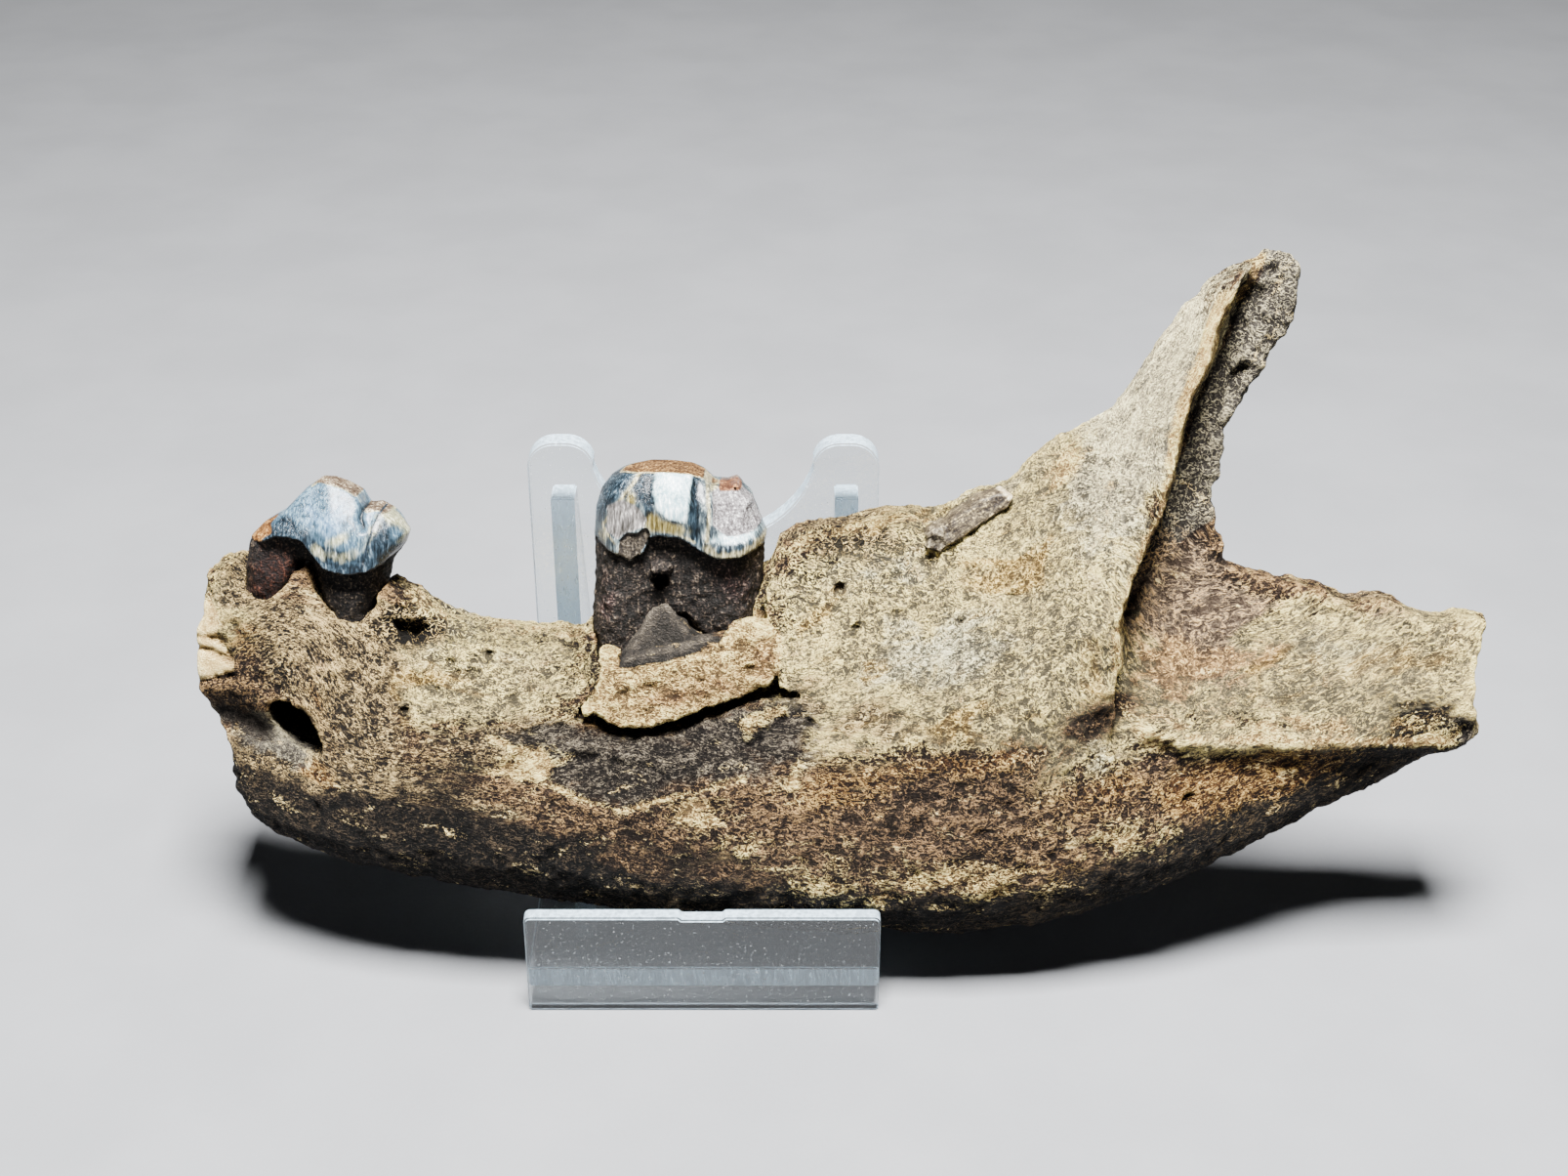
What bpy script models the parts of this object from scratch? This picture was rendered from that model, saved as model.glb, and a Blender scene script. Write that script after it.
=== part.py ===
"""Left half of a cave hyena's lower jaw, a fossil, leaning in a clear acrylic stand.

Metres, +Z up. The jaw runs along X, its front end at -X and its cheek side toward -Y.
The origin is on the floor, below the middle of the whole object's box.

Bone and teeth are laid out in the jaw's own flat plane, in millimetres: u runs back along
the jaw from its broken front end, v runs up from its lowest point, and w comes out of the
cheek side. Each of them is a thin slab cut to its side view, then swelled on both faces.
"""
import math

import bmesh
import bpy
import numpy as np
from mathutils import Matrix, Vector, noise

MM = 0.001
GAP = 0.3 * MM

# The jaw leans back in its stand, with its lowest point just over the shelf.
JAW_LEAN = math.radians(17)
JAW_X = -80.43 * MM
JAW_Y = -19.9 * MM
JAW_Z = 5.75 * MM

# The acrylic stand. Its middle lies under the cheek teeth.
STAND_X = -16.6 * MM
STAND_WIDTH = 43.6 * MM
SHEET = 3.0 * MM
LIP_HEIGHT = 14.5 * MM
LIP_THICKNESS = 2.0 * MM
LIP_FRONT_Y = JAW_Y - 9.5 * MM
LIP_NOTCH_WIDTH = 5.7 * MM
LIP_NOTCH_DEPTH = 0.35 * MM
LIP_CORNER = 0.8 * MM
BROKEN_EDGE = 0.25 * MM
SHELF_TOP = 5.6 * MM
BACK_FRONT_Y = JAW_Y + 22.0 * MM
BACK_HEIGHT = 63.2 * MM
EAR_RADIUS = 3.4 * MM
YOKE_HALF_WIDTH = 14.2 * MM
YOKE_DEPTH = 13.8 * MM
LEG_OFFSET = 17.9 * MM
LEG_TOP = 54.5 * MM
LEG_TOP_DEPTH = 4.0 * MM
LEG_FOOT_DEPTH = 24.0 * MM

# Side view of the bone, from the front of the tooth row round to the front again.
BONE_OUTLINE = [
    (2.8, 46.2), (5.5, 46.5), (7.6, 45.8), (8.6, 44.5), (10, 43.8), (12.4, 44.2), (14.3, 46.6),
    (15.8, 47.3), (17.1, 44.6), (18.5, 42.2), (20.2, 41.2), (22.3, 41.2), (23.9, 42.6),
    (25.3, 45.3), (28, 43.7), (32.5, 41), (37.5, 40), (42, 39.5), (49, 39), (51, 42), (54, 44.5),
    (62, 45.5), (68, 45.5), (72, 47), (73.5, 50.8), (77, 52.2), (81, 52.7), (85.5, 53.9),
    (89, 54.2), (91.5, 53.9), (94.5, 54.9), (97, 56.5), (101, 57.3), (102.5, 58.8), (104.5, 61.2),
    (107, 63.2), (110, 64.3), (113.5, 66.6), (115.2, 69), (117, 72.2), (118.8, 75),
    (121.2, 78.3), (123.8, 81.2), (127, 83.5), (129, 84), (131, 85.9), (133, 85.4), (134.9, 83.6),
    (134.8, 79), (133.7, 76), (132.3, 73.5), (130.5, 70.5), (128, 66), (127, 64), (126.8, 59),
    (126.3, 56.5), (126.6, 51.5), (127.5, 50), (128, 47.5), (131, 46), (134.5, 45.5),
    (139.5, 44.2), (143.5, 43), (147.5, 43.2), (149.5, 42.8), (151.5, 41), (154, 40.5),
    (156.5, 41), (158.2, 41.2), (160.3, 40.9), (159.2, 38.7), (158.8, 36), (158.9, 33.5),
    (158.6, 31.3), (159.3, 28.5), (159.6, 26.3), (158.4, 24.5), (156.6, 23.7), (153.5, 22.4),
    (150, 20), (146.5, 18), (141, 15.5), (135, 12.4), (129, 9.6), (123, 6.5), (117, 4.5),
    (110.5, 2.5), (104.5, 1), (98.5, .5), (92.5, 0), (86.5, .5), (79.5, .5), (71, 1.5), (61, 2),
    (51, 3.5), (41, 5), (34, 6), (26.5, 7.5), (19, 8.8), (13.5, 10.4), (9.8, 11.9), (7.2, 13.4),
    (5.6, 15.3), (4.5, 17.6), (4.2, 20), (4.3, 22.5), (4.5, 24.5), (4, 26), (2.7, 27.4),
    (1.8, 28.8), (1.4, 31), (0.8, 33.6), (1.1, 39.3), (2.1, 41), (2.8, 43)]

# Swell of the cheek side: places on the jaw and their height w there, before the rim rounds off.
BONE_CHEEK = [
    (0, 44, -.5), (0, 30, .5), (2, 15, 0), (10, 41, 4.7), (12, 33, 4), (12.5, 20, 4), (10, 11, 3),
    (20, 40, 5), (22, 28, 7), (22, 16, 7.5), (20, 8, 6.5), (33, 39, 5.5), (34, 28, 8.5),
    (34, 16, 9), (34, 6, 8.5), (48, 38, 5.5), (47, 28, 9), (47, 16, 10), (47, 4, 9), (60, 44, 5),
    (60, 30, 8.5), (60, 18, 10.5), (60, 3, 9.5), (74, 50, 5), (74, 40, 9), (74, 28, 10.5),
    (74, 14, 11), (74, 2, 9.5), (90, 53.5, 5), (90, 42, 10), (90, 28, 11.5), (90, 14, 11),
    (90, 1, 9), (103, 59, 5), (103, 46, 9.5), (104, 32, 11.5), (105, 16, 10.5), (105, 2, 8.5),
    (113, 67, 3.5), (118, 76, 3), (131, 85, 3), (121, 69, 3.5), (117, 55, 5), (113, 45, 7),
    (129, 68, 1.5), (125, 55, .5), (120, 44, 1), (125, 37, 0), (135, 42, 1), (135, 34, 1),
    (148, 40, 2), (148, 33, 2), (159, 38, 3.5), (159, 30, 4), (118, 28, 6.5), (133, 25, 4),
    (145, 25, 3), (156, 25, 2.5), (115, 16, 9), (128, 16, 5.5), (140, 18, 2.6), (150, 20, 1.2),
    (125, 8, 6), (115, 4, 7)]

# Swell of the tongue side, flatter, with a thin plate at the back.
BONE_TONGUE = [
    (0, 44, -13), (0, 30, -14.5), (2, 15, -14), (12, 42, -10), (12, 28, -12.5), (10, 11, -11.5),
    (22, 40, -7), (22, 26, -10), (20, 9, -9.5), (35, 38, -6.5), (35, 24, -9.5), (35, 6, -8.5),
    (48, 38, -7), (48, 24, -9.5), (48, 4, -8.5), (60, 45, -8), (60, 26, -9.5), (60, 3, -8.5),
    (74, 49, -7.5), (74, 30, -9.5), (74, 2, -8.5), (90, 54, -6.5), (90, 40, -9), (90, 26, -9),
    (90, 1, -8), (104, 60, -5), (104, 44, -7), (105, 28, -7.5), (105, 2, -7), (116, 72, -4),
    (131, 85, -2.5), (122, 62, -3.5), (118, 46, -5), (124, 36, -5.5), (120, 20, -6), (120, 6, -5.5),
    (135, 42, -4), (136, 30, -5), (135, 14, -4.5), (148, 40, -4), (148, 30, -4.5), (150, 20, -3.5),
    (159, 38, -3), (159, 28, -4)]

# How round the rim is: wide on the lower border, nearly square where the bone is broken off.
BONE_RIM = [
    (1, 43, 1.2), (.5, 30, 1), (2, 17, 1.5), (6, 10, 4), (20, 8, 8), (40, 5, 9), (60, 2, 9),
    (80, 0, 9), (100, 1, 8.5), (115, 4, 7.5), (128, 9, 6), (140, 15, 5), (150, 19, 4),
    (158, 23, 2.5), (160.5, 32, .8), (158, 41, 1), (145, 43, 1), (130, 46.5, 1), (126, 52, .8),
    (127, 62, .8), (131, 71, .8), (135, 79, 1), (133, 85, 1.5), (125, 82, 2.5), (117, 73, 4),
    (110, 64, 4), (100, 57, 4), (88, 55, 3.5), (78, 52, 3.5), (60, 45, 2), (45, 39, 4),
    (33, 41, 3), (26, 44, 1.2), (20, 40, .7), (14, 44, .7), (10, 42, .7), (6, 45, .9)]
RIM_SPREAD = 8.0

# Raised crest down the front of the muscle hollow, the sharp edge facing the hinge end.
CREST = [(130, 86), (127.5, 84), (125.5, 80), (124, 76.5), (123.5, 73), (121.5, 69), (120.5, 65),
         (120, 61), (118.5, 55.5), (116.5, 51), (114.5, 46.5), (113.5, 41.5), (113.5, 36.5)]
CREST_HEIGHT = 5.0
CREST_REACH_FRONT, CREST_REACH_BEHIND = 6.5, 1.3
# Hollow that undercuts its sharp side.
BEHIND_CREST_DEPTH = 2.6
BEHIND_CREST_REACH = 5.0
# Softer ridge below the hollow, lit on top and steep underneath.
LOWER_RIDGE = [(113.5, 38), (115, 32), (118.5, 29), (123.5, 27), (133, 26.5), (145, 26), (156, 26)]
LOWER_RIDGE_HEIGHT = 2.8
LOWER_RIDGE_REACH_BELOW, LOWER_RIDGE_REACH_ABOVE = 2.4, 4.5
# Dark groove and fracture just behind the crest.
CREST_GROOVE = [(128.5, 80), (127, 74), (124, 66), (122.5, 60), (120.5, 54), (118, 48), (116, 42)]
CREST_GROOVE_DEPTH, CREST_GROOVE_REACH = 2.2, 1.6

# The outer wall is broken away over the roots of the big premolar.
ROOT_WINDOW = [(49.9, 48), (49.9, 35), (51.5, 30), (60, 31), (70, 35), (73, 39), (71.6, 43),
               (72, 49)]
ROOT_WINDOW_FLOOR = 3.5
# Loose-looking flake of that wall, still stuck on below the window.
FLAKE = [
    (51.8, 38.7), (53.5, 38.9), (55, 38.7), (54, 37.6), (54, 36.3), (56.8, 36.6), (60.1, 37.2),
    (64.6, 38.6), (66.6, 40.2), (68, 41.6), (69.4, 42.6), (71.5, 42.2), (73.2, 41.4), (73.7, 39.1),
    (73.4, 35.6), (72.1, 34.2), (69.7, 33), (67, 32.2), (64.1, 31.3), (60.6, 29.7), (57, 28.9),
    (53.8, 28.9), (52.1, 29.8), (51.2, 31.2), (50, 30.5), (48.9, 30.7), (49.8, 31.8), (51, 33),
    (51.5, 35)]
FLAKE_FACE = 9.2
# Hardened sediment between those roots, thickest at its foot.
MATRIX = [(57.6, 47), (60.4, 47), (60.4, 44), (61.3, 42), (63.4, 40.2), (67, 40), (65, 37.4),
          (60, 35.5), (53, 35), (53.6, 37), (55.8, 40), (57.2, 43)]
MATRIX_TOP, MATRIX_FACE, MATRIX_SWELL = 43.0, 5.4, 0.3

# Oval nerve hole under the small premolar: centre, half axes, turn, slant, height of its
# middle, depth. A smooth trough runs forward from it.
NERVE_HOLE = (13.5, 27.8)
NERVE_HOLE_HALF = (2.2, 4.1)
NERVE_HOLE_TURN = math.radians(44)
NERVE_HOLE_SLANT = math.radians(10)
NERVE_HOLE_W = 4.5
NERVE_HOLE_DEPTH = 8.0
TROUGH = [(1.5, 28.3), (5, 28), (9, 26.6), (13, 24.6)]
TROUGH_DEPTH, TROUGH_REACH = 1.9, 2.3

# Ragged spongy cavity behind the small premolar: centre, half axes, depth.
CAVITY, CAVITY_HALF, CAVITY_DEPTH = (29.5, 39.8), (4.4, 1.6), 2.2

# Larger pores in the spongy bone along the tooth row.
PORES = [
    (29.9, 33.9), (24.6, 32.7), (32.8, 31.9), (27.9, 30.6), (36.5, 30.4), (35.8, 40.4),
    (38.3, 37), (41, 33.6), (45, 36.5), (33.5, 36.2), (80.5, 45.6), (84, 44), (86.5, 47),
    (82.4, 41.2), (89.5, 43.2), (93, 46.5), (95, 42.5), (98, 48), (101, 45.5), (76.5, 41.5),
    (77.8, 46.8)]
PORE_RADIUS = 1.0
PORE_DEPTH = 0.7

# Unevenness of the whole surface: height, and width of its lumps.
CHEEK_UNEVEN, CHEEK_LUMP = 0.25, 5.0
TONGUE_UNEVEN, TONGUE_LUMP = 0.25, 7.0

# A rim at least this wide is fully round. Narrower ones turn square over the fade.
ROUND_RIM, ROUND_FADE = 2.2, 1.4
LEAST_SQUARE, MOST_SQUARE = 0.08, 0.8
THINNEST = 1.2

# Small front premolar: a crown of two cusps on two roots.
P2_OUTLINE = [
    (8.9, 51), (10.6, 52.6), (13.1, 54), (15.6, 56.5), (17.7, 58), (19.1, 57.9), (20.9, 57.2),
    (22.5, 56.2), (22.9, 55.2), (23.2, 54.6), (24.6, 54.8), (26.1, 54), (27.4, 52.8),
    (28.2, 51.4), (27.7, 50), (26.2, 48.2), (25.3, 45.1), (24, 42.9), (22.5, 38), (21, 34.5),
    (19.5, 35.5), (18, 41.5), (17, 45), (16.2, 47.8), (15.2, 47.8), (13.5, 44), (12.9, 40),
    (11.8, 36.4), (10, 36), (8.5, 38), (7.9, 43.4), (8, 47.1)]
P2_CHEEK = [(10, 52, 3.5), (17, 57.5, 2), (22, 55, 3), (18, 51, 5.5), (25, 50, 5), (27, 52, 3.5),
            (12, 45, 3.3), (21, 44, 3.8), (11, 42, 2.6), (11, 36, 1.6), (20.5, 36, 2),
            (14, 50, 4.5)]
P2_TONGUE = [(10, 52, -4), (17, 57.5, -2.5), (22, 55, -3), (18, 51, -5), (25, 50, -5),
             (27, 52, -3.5), (12, 45, -3.5), (21, 44, -3.5), (11, 36, -2), (20.5, 36, -2)]
P2_RIM = [(18, 58, .9), (10, 51, 1.8), (28, 51, 2.2), (22.5, 55, .9), (8, 43, 2.2), (25, 44, 2.4),
          (16, 47.5, 1.6), (11, 36, 1.8), (20.5, 35, 1.8)]

# Large worn premolar: one cusp ground flat, a split rear face and two strong roots.
P4_OUTLINE = [
    (50.9, 50), (50.7, 51.4), (51, 54.6), (51.7, 56.8), (52.9, 58.3), (54.7, 59.2), (57.5, 59.7),
    (60.6, 59.6), (62.7, 59.3), (64.1, 58.7), (65.3, 57.6), (66.9, 57.4), (68.2, 57.9),
    (69, 56.7), (70, 55.8), (71, 53.4), (71.8, 51.4), (71.4, 49.7), (71.3, 46), (70.8, 41),
    (69.5, 35), (68, 30.5), (66, 30), (64.4, 35), (62.9, 38.5), (61.4, 41), (59.2, 41),
    (58, 38.5), (57.2, 33), (56, 29.5), (53.5, 29), (51.2, 32.5), (50.3, 40), (50.8, 46)]
P4_CHEEK = [(51, 52, 4.2), (53, 50.5, 6), (55.5, 50.5, 6.7), (60, 52.5, 7.2), (64, 50.5, 7.3),
            (68, 50, 7.4), (71.8, 51, 5.4), (51.3, 56, 4.6), (55, 55.5, 6.6), (60, 56, 7.2),
            (63, 56, 7), (66, 55, 6), (70, 54, 5), (54, 58.5, 4.4), (58.5, 59.5, 5),
            (62.5, 59.5, 5), (65.5, 58, 4.4), (68.5, 57.5, 4.2), (53, 45, 5.4), (60, 47, 5.3),
            (68, 45, 5.9), (57, 42, 4.8), (60.2, 44, 4.9), (62, 42, 4.8), (67, 40, 5.7),
            (54.5, 31, 3.6), (67, 31, 3.6)]
P4_TONGUE = [(51, 52, -4.5), (54, 58, -4.4), (60, 59.5, -4), (65, 58.5, -4), (70, 51, -5.8),
             (60, 54, -6.4), (66, 52, -6.2), (55, 52, -6), (53, 45, -4.6), (54, 38, -4.4),
             (54.5, 31, -3), (67, 45, -4.9), (67, 38, -4.6), (67, 31, -3), (60, 46, -4.5)]
P4_RIM = [(54.5, 59, 1.4), (60, 60, 1), (64, 59, 1), (51, 55, 3.6), (72, 52, 3.2), (68, 58, 1.2),
          (50.5, 42, 3.3), (71, 42, 3.3), (60, 42, 1.8), (55, 30, 2.4), (67, 31, 2.4),
          (58, 38, 2.6), (64, 37, 2.6)]
TOOTH_RIM_SPREAD = 2.5

# Splinter of the lost flesh tooth, lying in its filled socket.
SPLINTER_OUTLINE = [
    (90.7, 50.6), (90.5, 52.2), (91.4, 53.1), (93, 53.7), (97, 56.6), (99.8, 57.5), (101.3, 56.6),
    (100.6, 55.4), (96.8, 52.9), (94.2, 51.1), (92.4, 50)]
SPLINTER_CHEEK = [(91.5, 51.5, 7.0), (96, 55, 6.5), (100.5, 56.5, 6.1), (95, 51.8, 7.2)]
SPLINTER_TONGUE = [(91.5, 51.5, 1.4), (96, 55, 1.6), (100.5, 56.5, 2)]
SPLINTER_RIM = [(91, 51, .8), (96, 54, .8), (101, 56, .8)]

# Grain of each solid: side of a remesh cell, and the number of triangles that are kept.
BONE_CELL, BONE_FACES = 0.9, 5960
TOOTH_CELL = 0.55
P2_FACES, P4_FACES, SPLINTER_FACES = 700, 980, 120
SOCKET_CLEARANCE = 0.42 * MM


def clear_scene():
    for item in list(bpy.data.objects):
        bpy.data.objects.remove(item, do_unlink=True)


def new_collection(name):
    collection = bpy.data.collections.new(name)
    bpy.context.scene.collection.children.link(collection)
    return collection


def new_material(name, colour, roughness, alpha=1.0):
    material = bpy.data.materials.new(name)
    material.use_nodes = True
    shader = material.node_tree.nodes["Principled BSDF"]
    shader.inputs["Base Color"].default_value = (*colour, 1)
    shader.inputs["Roughness"].default_value = roughness
    shader.inputs["Metallic"].default_value = 0
    shader.inputs["Alpha"].default_value = alpha
    material.diffuse_color = (*colour, alpha)
    return material


def evaluated_copy(item):
    """The object with its modifiers applied, as a new mesh in world space."""
    graph = bpy.context.evaluated_depsgraph_get()
    mesh = bpy.data.meshes.new_from_object(item.evaluated_get(graph))
    mesh.transform(item.matrix_world)
    return mesh


def flat_plate(name, collection, outline, thickness):
    """Closed mesh plate from a flat outline in metres, centred on its own plane."""
    curve = bpy.data.curves.new(name, "CURVE")
    curve.dimensions = "2D"
    curve.fill_mode = "BOTH"
    curve.extrude = thickness / 2
    spline = curve.splines.new("POLY")
    spline.points.add(len(outline) - 1)
    for point, (x, y) in zip(spline.points, outline):
        point.co = (x, y, 0, 1)
    spline.use_cyclic_u = True
    source = bpy.data.objects.new(name + "_outline", curve)
    collection.objects.link(source)
    bpy.context.view_layer.update()
    mesh = evaluated_copy(source)
    bpy.data.objects.remove(source, do_unlink=True)
    shell = bmesh.new()
    shell.from_mesh(mesh)
    bmesh.ops.remove_doubles(shell, verts=shell.verts, dist=0.00001)
    bmesh.ops.recalc_face_normals(shell, faces=shell.faces)
    shell.to_mesh(mesh)
    shell.free()
    plate = bpy.data.objects.new(name, mesh)
    collection.objects.link(plate)
    return plate


def bake_modifiers(item):
    """Replace an object's mesh by what its modifiers make of it."""
    bpy.context.view_layer.update()
    mesh = evaluated_copy(item)
    item.modifiers.clear()
    item.data = mesh


def smooth_height(places):
    """Thin-plate surface through (u, v, w) places, as a function of arrays u and v."""
    data = np.array(places, dtype=float)
    spots = data[:, :2] / 10
    count = len(spots)

    def bend(squared):
        return 0.5 * squared * np.log(squared + 1e-12)

    squared = ((spots[:, None] - spots[None]) ** 2).sum(2)
    system = np.zeros((count + 3, count + 3))
    system[:count, :count] = bend(squared) + 0.02 * np.eye(count)
    system[:count, count] = 1
    system[:count, count + 1:] = spots
    system[count, :count] = 1
    system[count + 1:, :count] = spots.T
    weights = np.linalg.solve(system, np.concatenate([data[:, 2], np.zeros(3)]))

    def height(u, v):
        here = np.stack([u, v], 1) / 10
        squared = ((here[:, None] - spots[None]) ** 2).sum(2)
        return bend(squared) @ weights[:count] + weights[count] + here @ weights[count + 1:]

    return height


def blended(places, u, v, spread):
    """Weighted mean of the places' values, each with a soft reach of `spread`."""
    data = np.array(places, dtype=float)
    squared = (u[:, None] - data[:, 0]) ** 2 + (v[:, None] - data[:, 1]) ** 2
    squared -= squared.min(1, keepdims=True)
    weight = np.exp(-squared / (2 * spread ** 2))
    return (weight * data[:, 2]).sum(1) / weight.sum(1)


def to_line(points, u, v, closed=False):
    """Distance to a line of points, the way along it (0 to 1), and the side (+1 is right)."""
    line = np.array(points + points[:1] if closed else points, dtype=float)
    best = np.full(u.shape, 1e9)
    along = np.zeros(u.shape)
    side = np.ones(u.shape)
    steps = len(line) - 1
    for index in range(steps):
        start, end = line[index], line[index + 1]
        run = end - start
        part = ((u - start[0]) * run[0] + (v - start[1]) * run[1]) / (run @ run)
        part = part.clip(0, 1)
        du, dv = u - start[0] - part * run[0], v - start[1] - part * run[1]
        distance = np.hypot(du, dv)
        nearer = distance < best
        best = np.where(nearer, distance, best)
        along = np.where(nearer, (index + part) / steps, along)
        side = np.where(nearer, np.where(run[0] * dv - run[1] * du > 0, -1, 1), side)
    return best, along, side


def depth_inside(outline, u, v):
    """Distance to a closed outline, positive inside it."""
    distance = to_line(outline, u, v, closed=True)[0]
    inside = np.zeros(u.shape, dtype=bool)
    for (au, av), (bu, bv) in zip(outline, outline[1:] + outline[:1]):
        if av != bv:
            crosses = (av > v) != (bv > v)
            inside ^= crosses & (u < au + (v - av) * (bu - au) / (bv - av))
    return np.where(inside, distance, -distance)


def ramp(value, low, high):
    part = ((value - low) / (high - low)).clip(0, 1)
    return part * part * (3 - 2 * part)


def mound(distance, reach):
    """Soft bell over a distance: 1 at nought, a third at the reach."""
    return np.exp(-(distance / reach) ** 2)


def rumple(u, v, scale, seed):
    """Soft irregular unevenness from -1 to 1, with lumps about `scale` millimetres wide."""
    return np.array([noise.fractal(Vector((a / scale, b / scale, seed)), 1, 2, 3)
                     for a, b in zip(u, v)])


def swelled_slab(name, collection, outline, cell, cheek, tongue, rim):
    """Slab cut to `outline`, with its faces moved out to the cheek and tongue heights.

    `cheek`, `tongue` and `rim` are functions of u and v. The faces draw together toward the
    outline over the width `rim`, so a wide rim is round and a narrow one is nearly square.
    """
    slab_half = 3.0
    metres = [(u * MM, v * MM) for u, v in outline]
    slab = flat_plate(name, collection, metres, 2 * slab_half * MM)
    remesh = slab.modifiers.new("even cells", "REMESH")
    remesh.mode = "VOXEL"
    remesh.voxel_size = cell * MM
    bake_modifiers(slab)
    count = len(slab.data.vertices)
    places = np.empty(count * 3)
    slab.data.vertices.foreach_get("co", places)
    u, v, w = places.reshape(count, 3).T / MM
    depth = depth_inside(outline, u, v).clip(0, None)
    round_width = rim(u, v)
    square = ((ROUND_RIM - round_width) / ROUND_FADE).clip(LEAST_SQUARE, MOST_SQUARE)
    curve = np.sqrt(1 - (1 - (depth / round_width).clip(0, 1)) ** 2)
    share = square + (1 - square) * curve
    front, back = cheek(u, v), tongue(u, v)
    middle, half = (front + back) / 2, (front - back).clip(THINNEST, None) / 2
    w = middle + half * share * (w / slab_half).clip(-1, 1)
    moved = np.stack([u, v, w], 1) * MM
    slab.data.vertices.foreach_set("co", moved.ravel())
    slab.data.update()
    return slab


def thin_out(item, faces):
    """Keep about this many triangles, most of them where the surface bends."""
    decimate = item.modifiers.new("fewer faces", "DECIMATE")
    decimate.ratio = faces / sum(len(face.vertices) - 2 for face in item.data.polygons)
    decimate.use_collapse_triangulate = True
    bake_modifiers(item)


def cut(item, tool):
    """Mark `tool` as a cutter and take its shape out of `item`."""
    tool.hide_render = True
    tool.display_type = "WIRE"
    difference = item.modifiers.new("cut " + tool.name, "BOOLEAN")
    difference.operation = "DIFFERENCE"
    difference.solver = "EXACT"
    difference.object = tool


def bone_cheek(u, v):
    """Height of the bone's cheek side, with its ridges, hollows, flake and pores."""
    height = smooth_height(BONE_CHEEK)(u, v)
    distance, along, side = to_line(CREST, u, v)
    reach = np.where(side > 0, CREST_REACH_FRONT, CREST_REACH_BEHIND)
    full = CREST_HEIGHT * (0.75 + 0.25 * along) * ramp(1.25 - along, 0, 0.35)
    height += full * mound(distance, reach)
    undercut = mound(distance, BEHIND_CREST_REACH) - mound(distance, CREST_REACH_BEHIND)
    height -= BEHIND_CREST_DEPTH * ramp(along, 0.25, 0.55) * np.where(side > 0, 0, undercut)
    distance, along, side = to_line(LOWER_RIDGE, u, v)
    reach = np.where(side > 0, LOWER_RIDGE_REACH_BELOW, LOWER_RIDGE_REACH_ABOVE)
    height += LOWER_RIDGE_HEIGHT * ramp(along, 0.1, 0.4) * mound(distance, reach)
    height -= CREST_GROOVE_DEPTH * mound(to_line(CREST_GROOVE, u, v)[0], CREST_GROOVE_REACH)
    window = ramp(depth_inside(ROOT_WINDOW, u, v), -0.6, 0.6)
    height = height * (1 - window) + np.minimum(height, ROOT_WINDOW_FLOOR) * window
    fill = ramp(depth_inside(MATRIX, u, v), -0.9, 0.7)
    infill_face = MATRIX_FACE + MATRIX_SWELL * (MATRIX_TOP - v).clip(0, None)
    height = np.maximum(height, fill * infill_face)
    flake = ramp(depth_inside(FLAKE, u, v), -0.5, 0.4)
    height = height * (1 - flake) + FLAKE_FACE * flake
    height -= TROUGH_DEPTH * mound(to_line(TROUGH, u, v)[0], TROUGH_REACH)
    across = (u - CAVITY[0]) / CAVITY_HALF[0]
    upward = (v - CAVITY[1]) / CAVITY_HALF[1]
    height -= CAVITY_DEPTH * mound(np.hypot(across, upward), 1)
    for pore_u, pore_v in PORES:
        height -= PORE_DEPTH * mound(np.hypot(u - pore_u, v - pore_v), PORE_RADIUS)
    return height + CHEEK_UNEVEN * rumple(u, v, CHEEK_LUMP, 1.3)


def bone_tongue(u, v):
    return smooth_height(BONE_TONGUE)(u, v) + TONGUE_UNEVEN * rumple(u, v, TONGUE_LUMP, 4.7)


def bone_rim(u, v):
    return blended(BONE_RIM, u, v, RIM_SPREAD)


def tooth(name, collection, outline, cheek, tongue, rim, faces):
    """A tooth's crown and roots in one piece."""
    item = swelled_slab(name, collection, outline, TOOTH_CELL, smooth_height(cheek),
                        smooth_height(tongue), lambda u, v: blended(rim, u, v, TOOTH_RIM_SPREAD))
    thin_out(item, faces)
    return item


def socket(item, collection):
    """Cutter in the shape of a tooth, larger all round by the clearance."""
    mesh = item.data.copy()
    normals = [vertex.normal.copy() for vertex in mesh.vertices]
    for vertex, normal in zip(mesh.vertices, normals):
        vertex.co += normal * SOCKET_CLEARANCE
    tool = bpy.data.objects.new(item.name + "_socket", mesh)
    collection.objects.link(tool)
    return tool


def nerve_hole(collection):
    """Cutter for the oval nerve hole, slanting into the bone."""
    tool_mesh = bpy.data.meshes.new("nerve_hole")
    ball = bmesh.new()
    bmesh.ops.create_uvsphere(ball, u_segments=16, v_segments=10, radius=1)
    half_u, half_v = NERVE_HOLE_HALF
    bmesh.ops.scale(ball, verts=ball.verts, vec=(half_u * MM, half_v * MM, NERVE_HOLE_DEPTH * MM))
    turn = Matrix.Rotation(NERVE_HOLE_SLANT, 4, "Y") @ Matrix.Rotation(NERVE_HOLE_TURN, 4, "Z")
    bmesh.ops.transform(ball, verts=ball.verts, matrix=turn)
    centre = Vector((NERVE_HOLE[0] * MM, NERVE_HOLE[1] * MM, NERVE_HOLE_W * MM))
    bmesh.ops.translate(ball, verts=ball.verts, vec=centre)
    ball.to_mesh(tool_mesh)
    ball.free()
    tool = bpy.data.objects.new("nerve_hole", tool_mesh)
    collection.objects.link(tool)
    return tool


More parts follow.
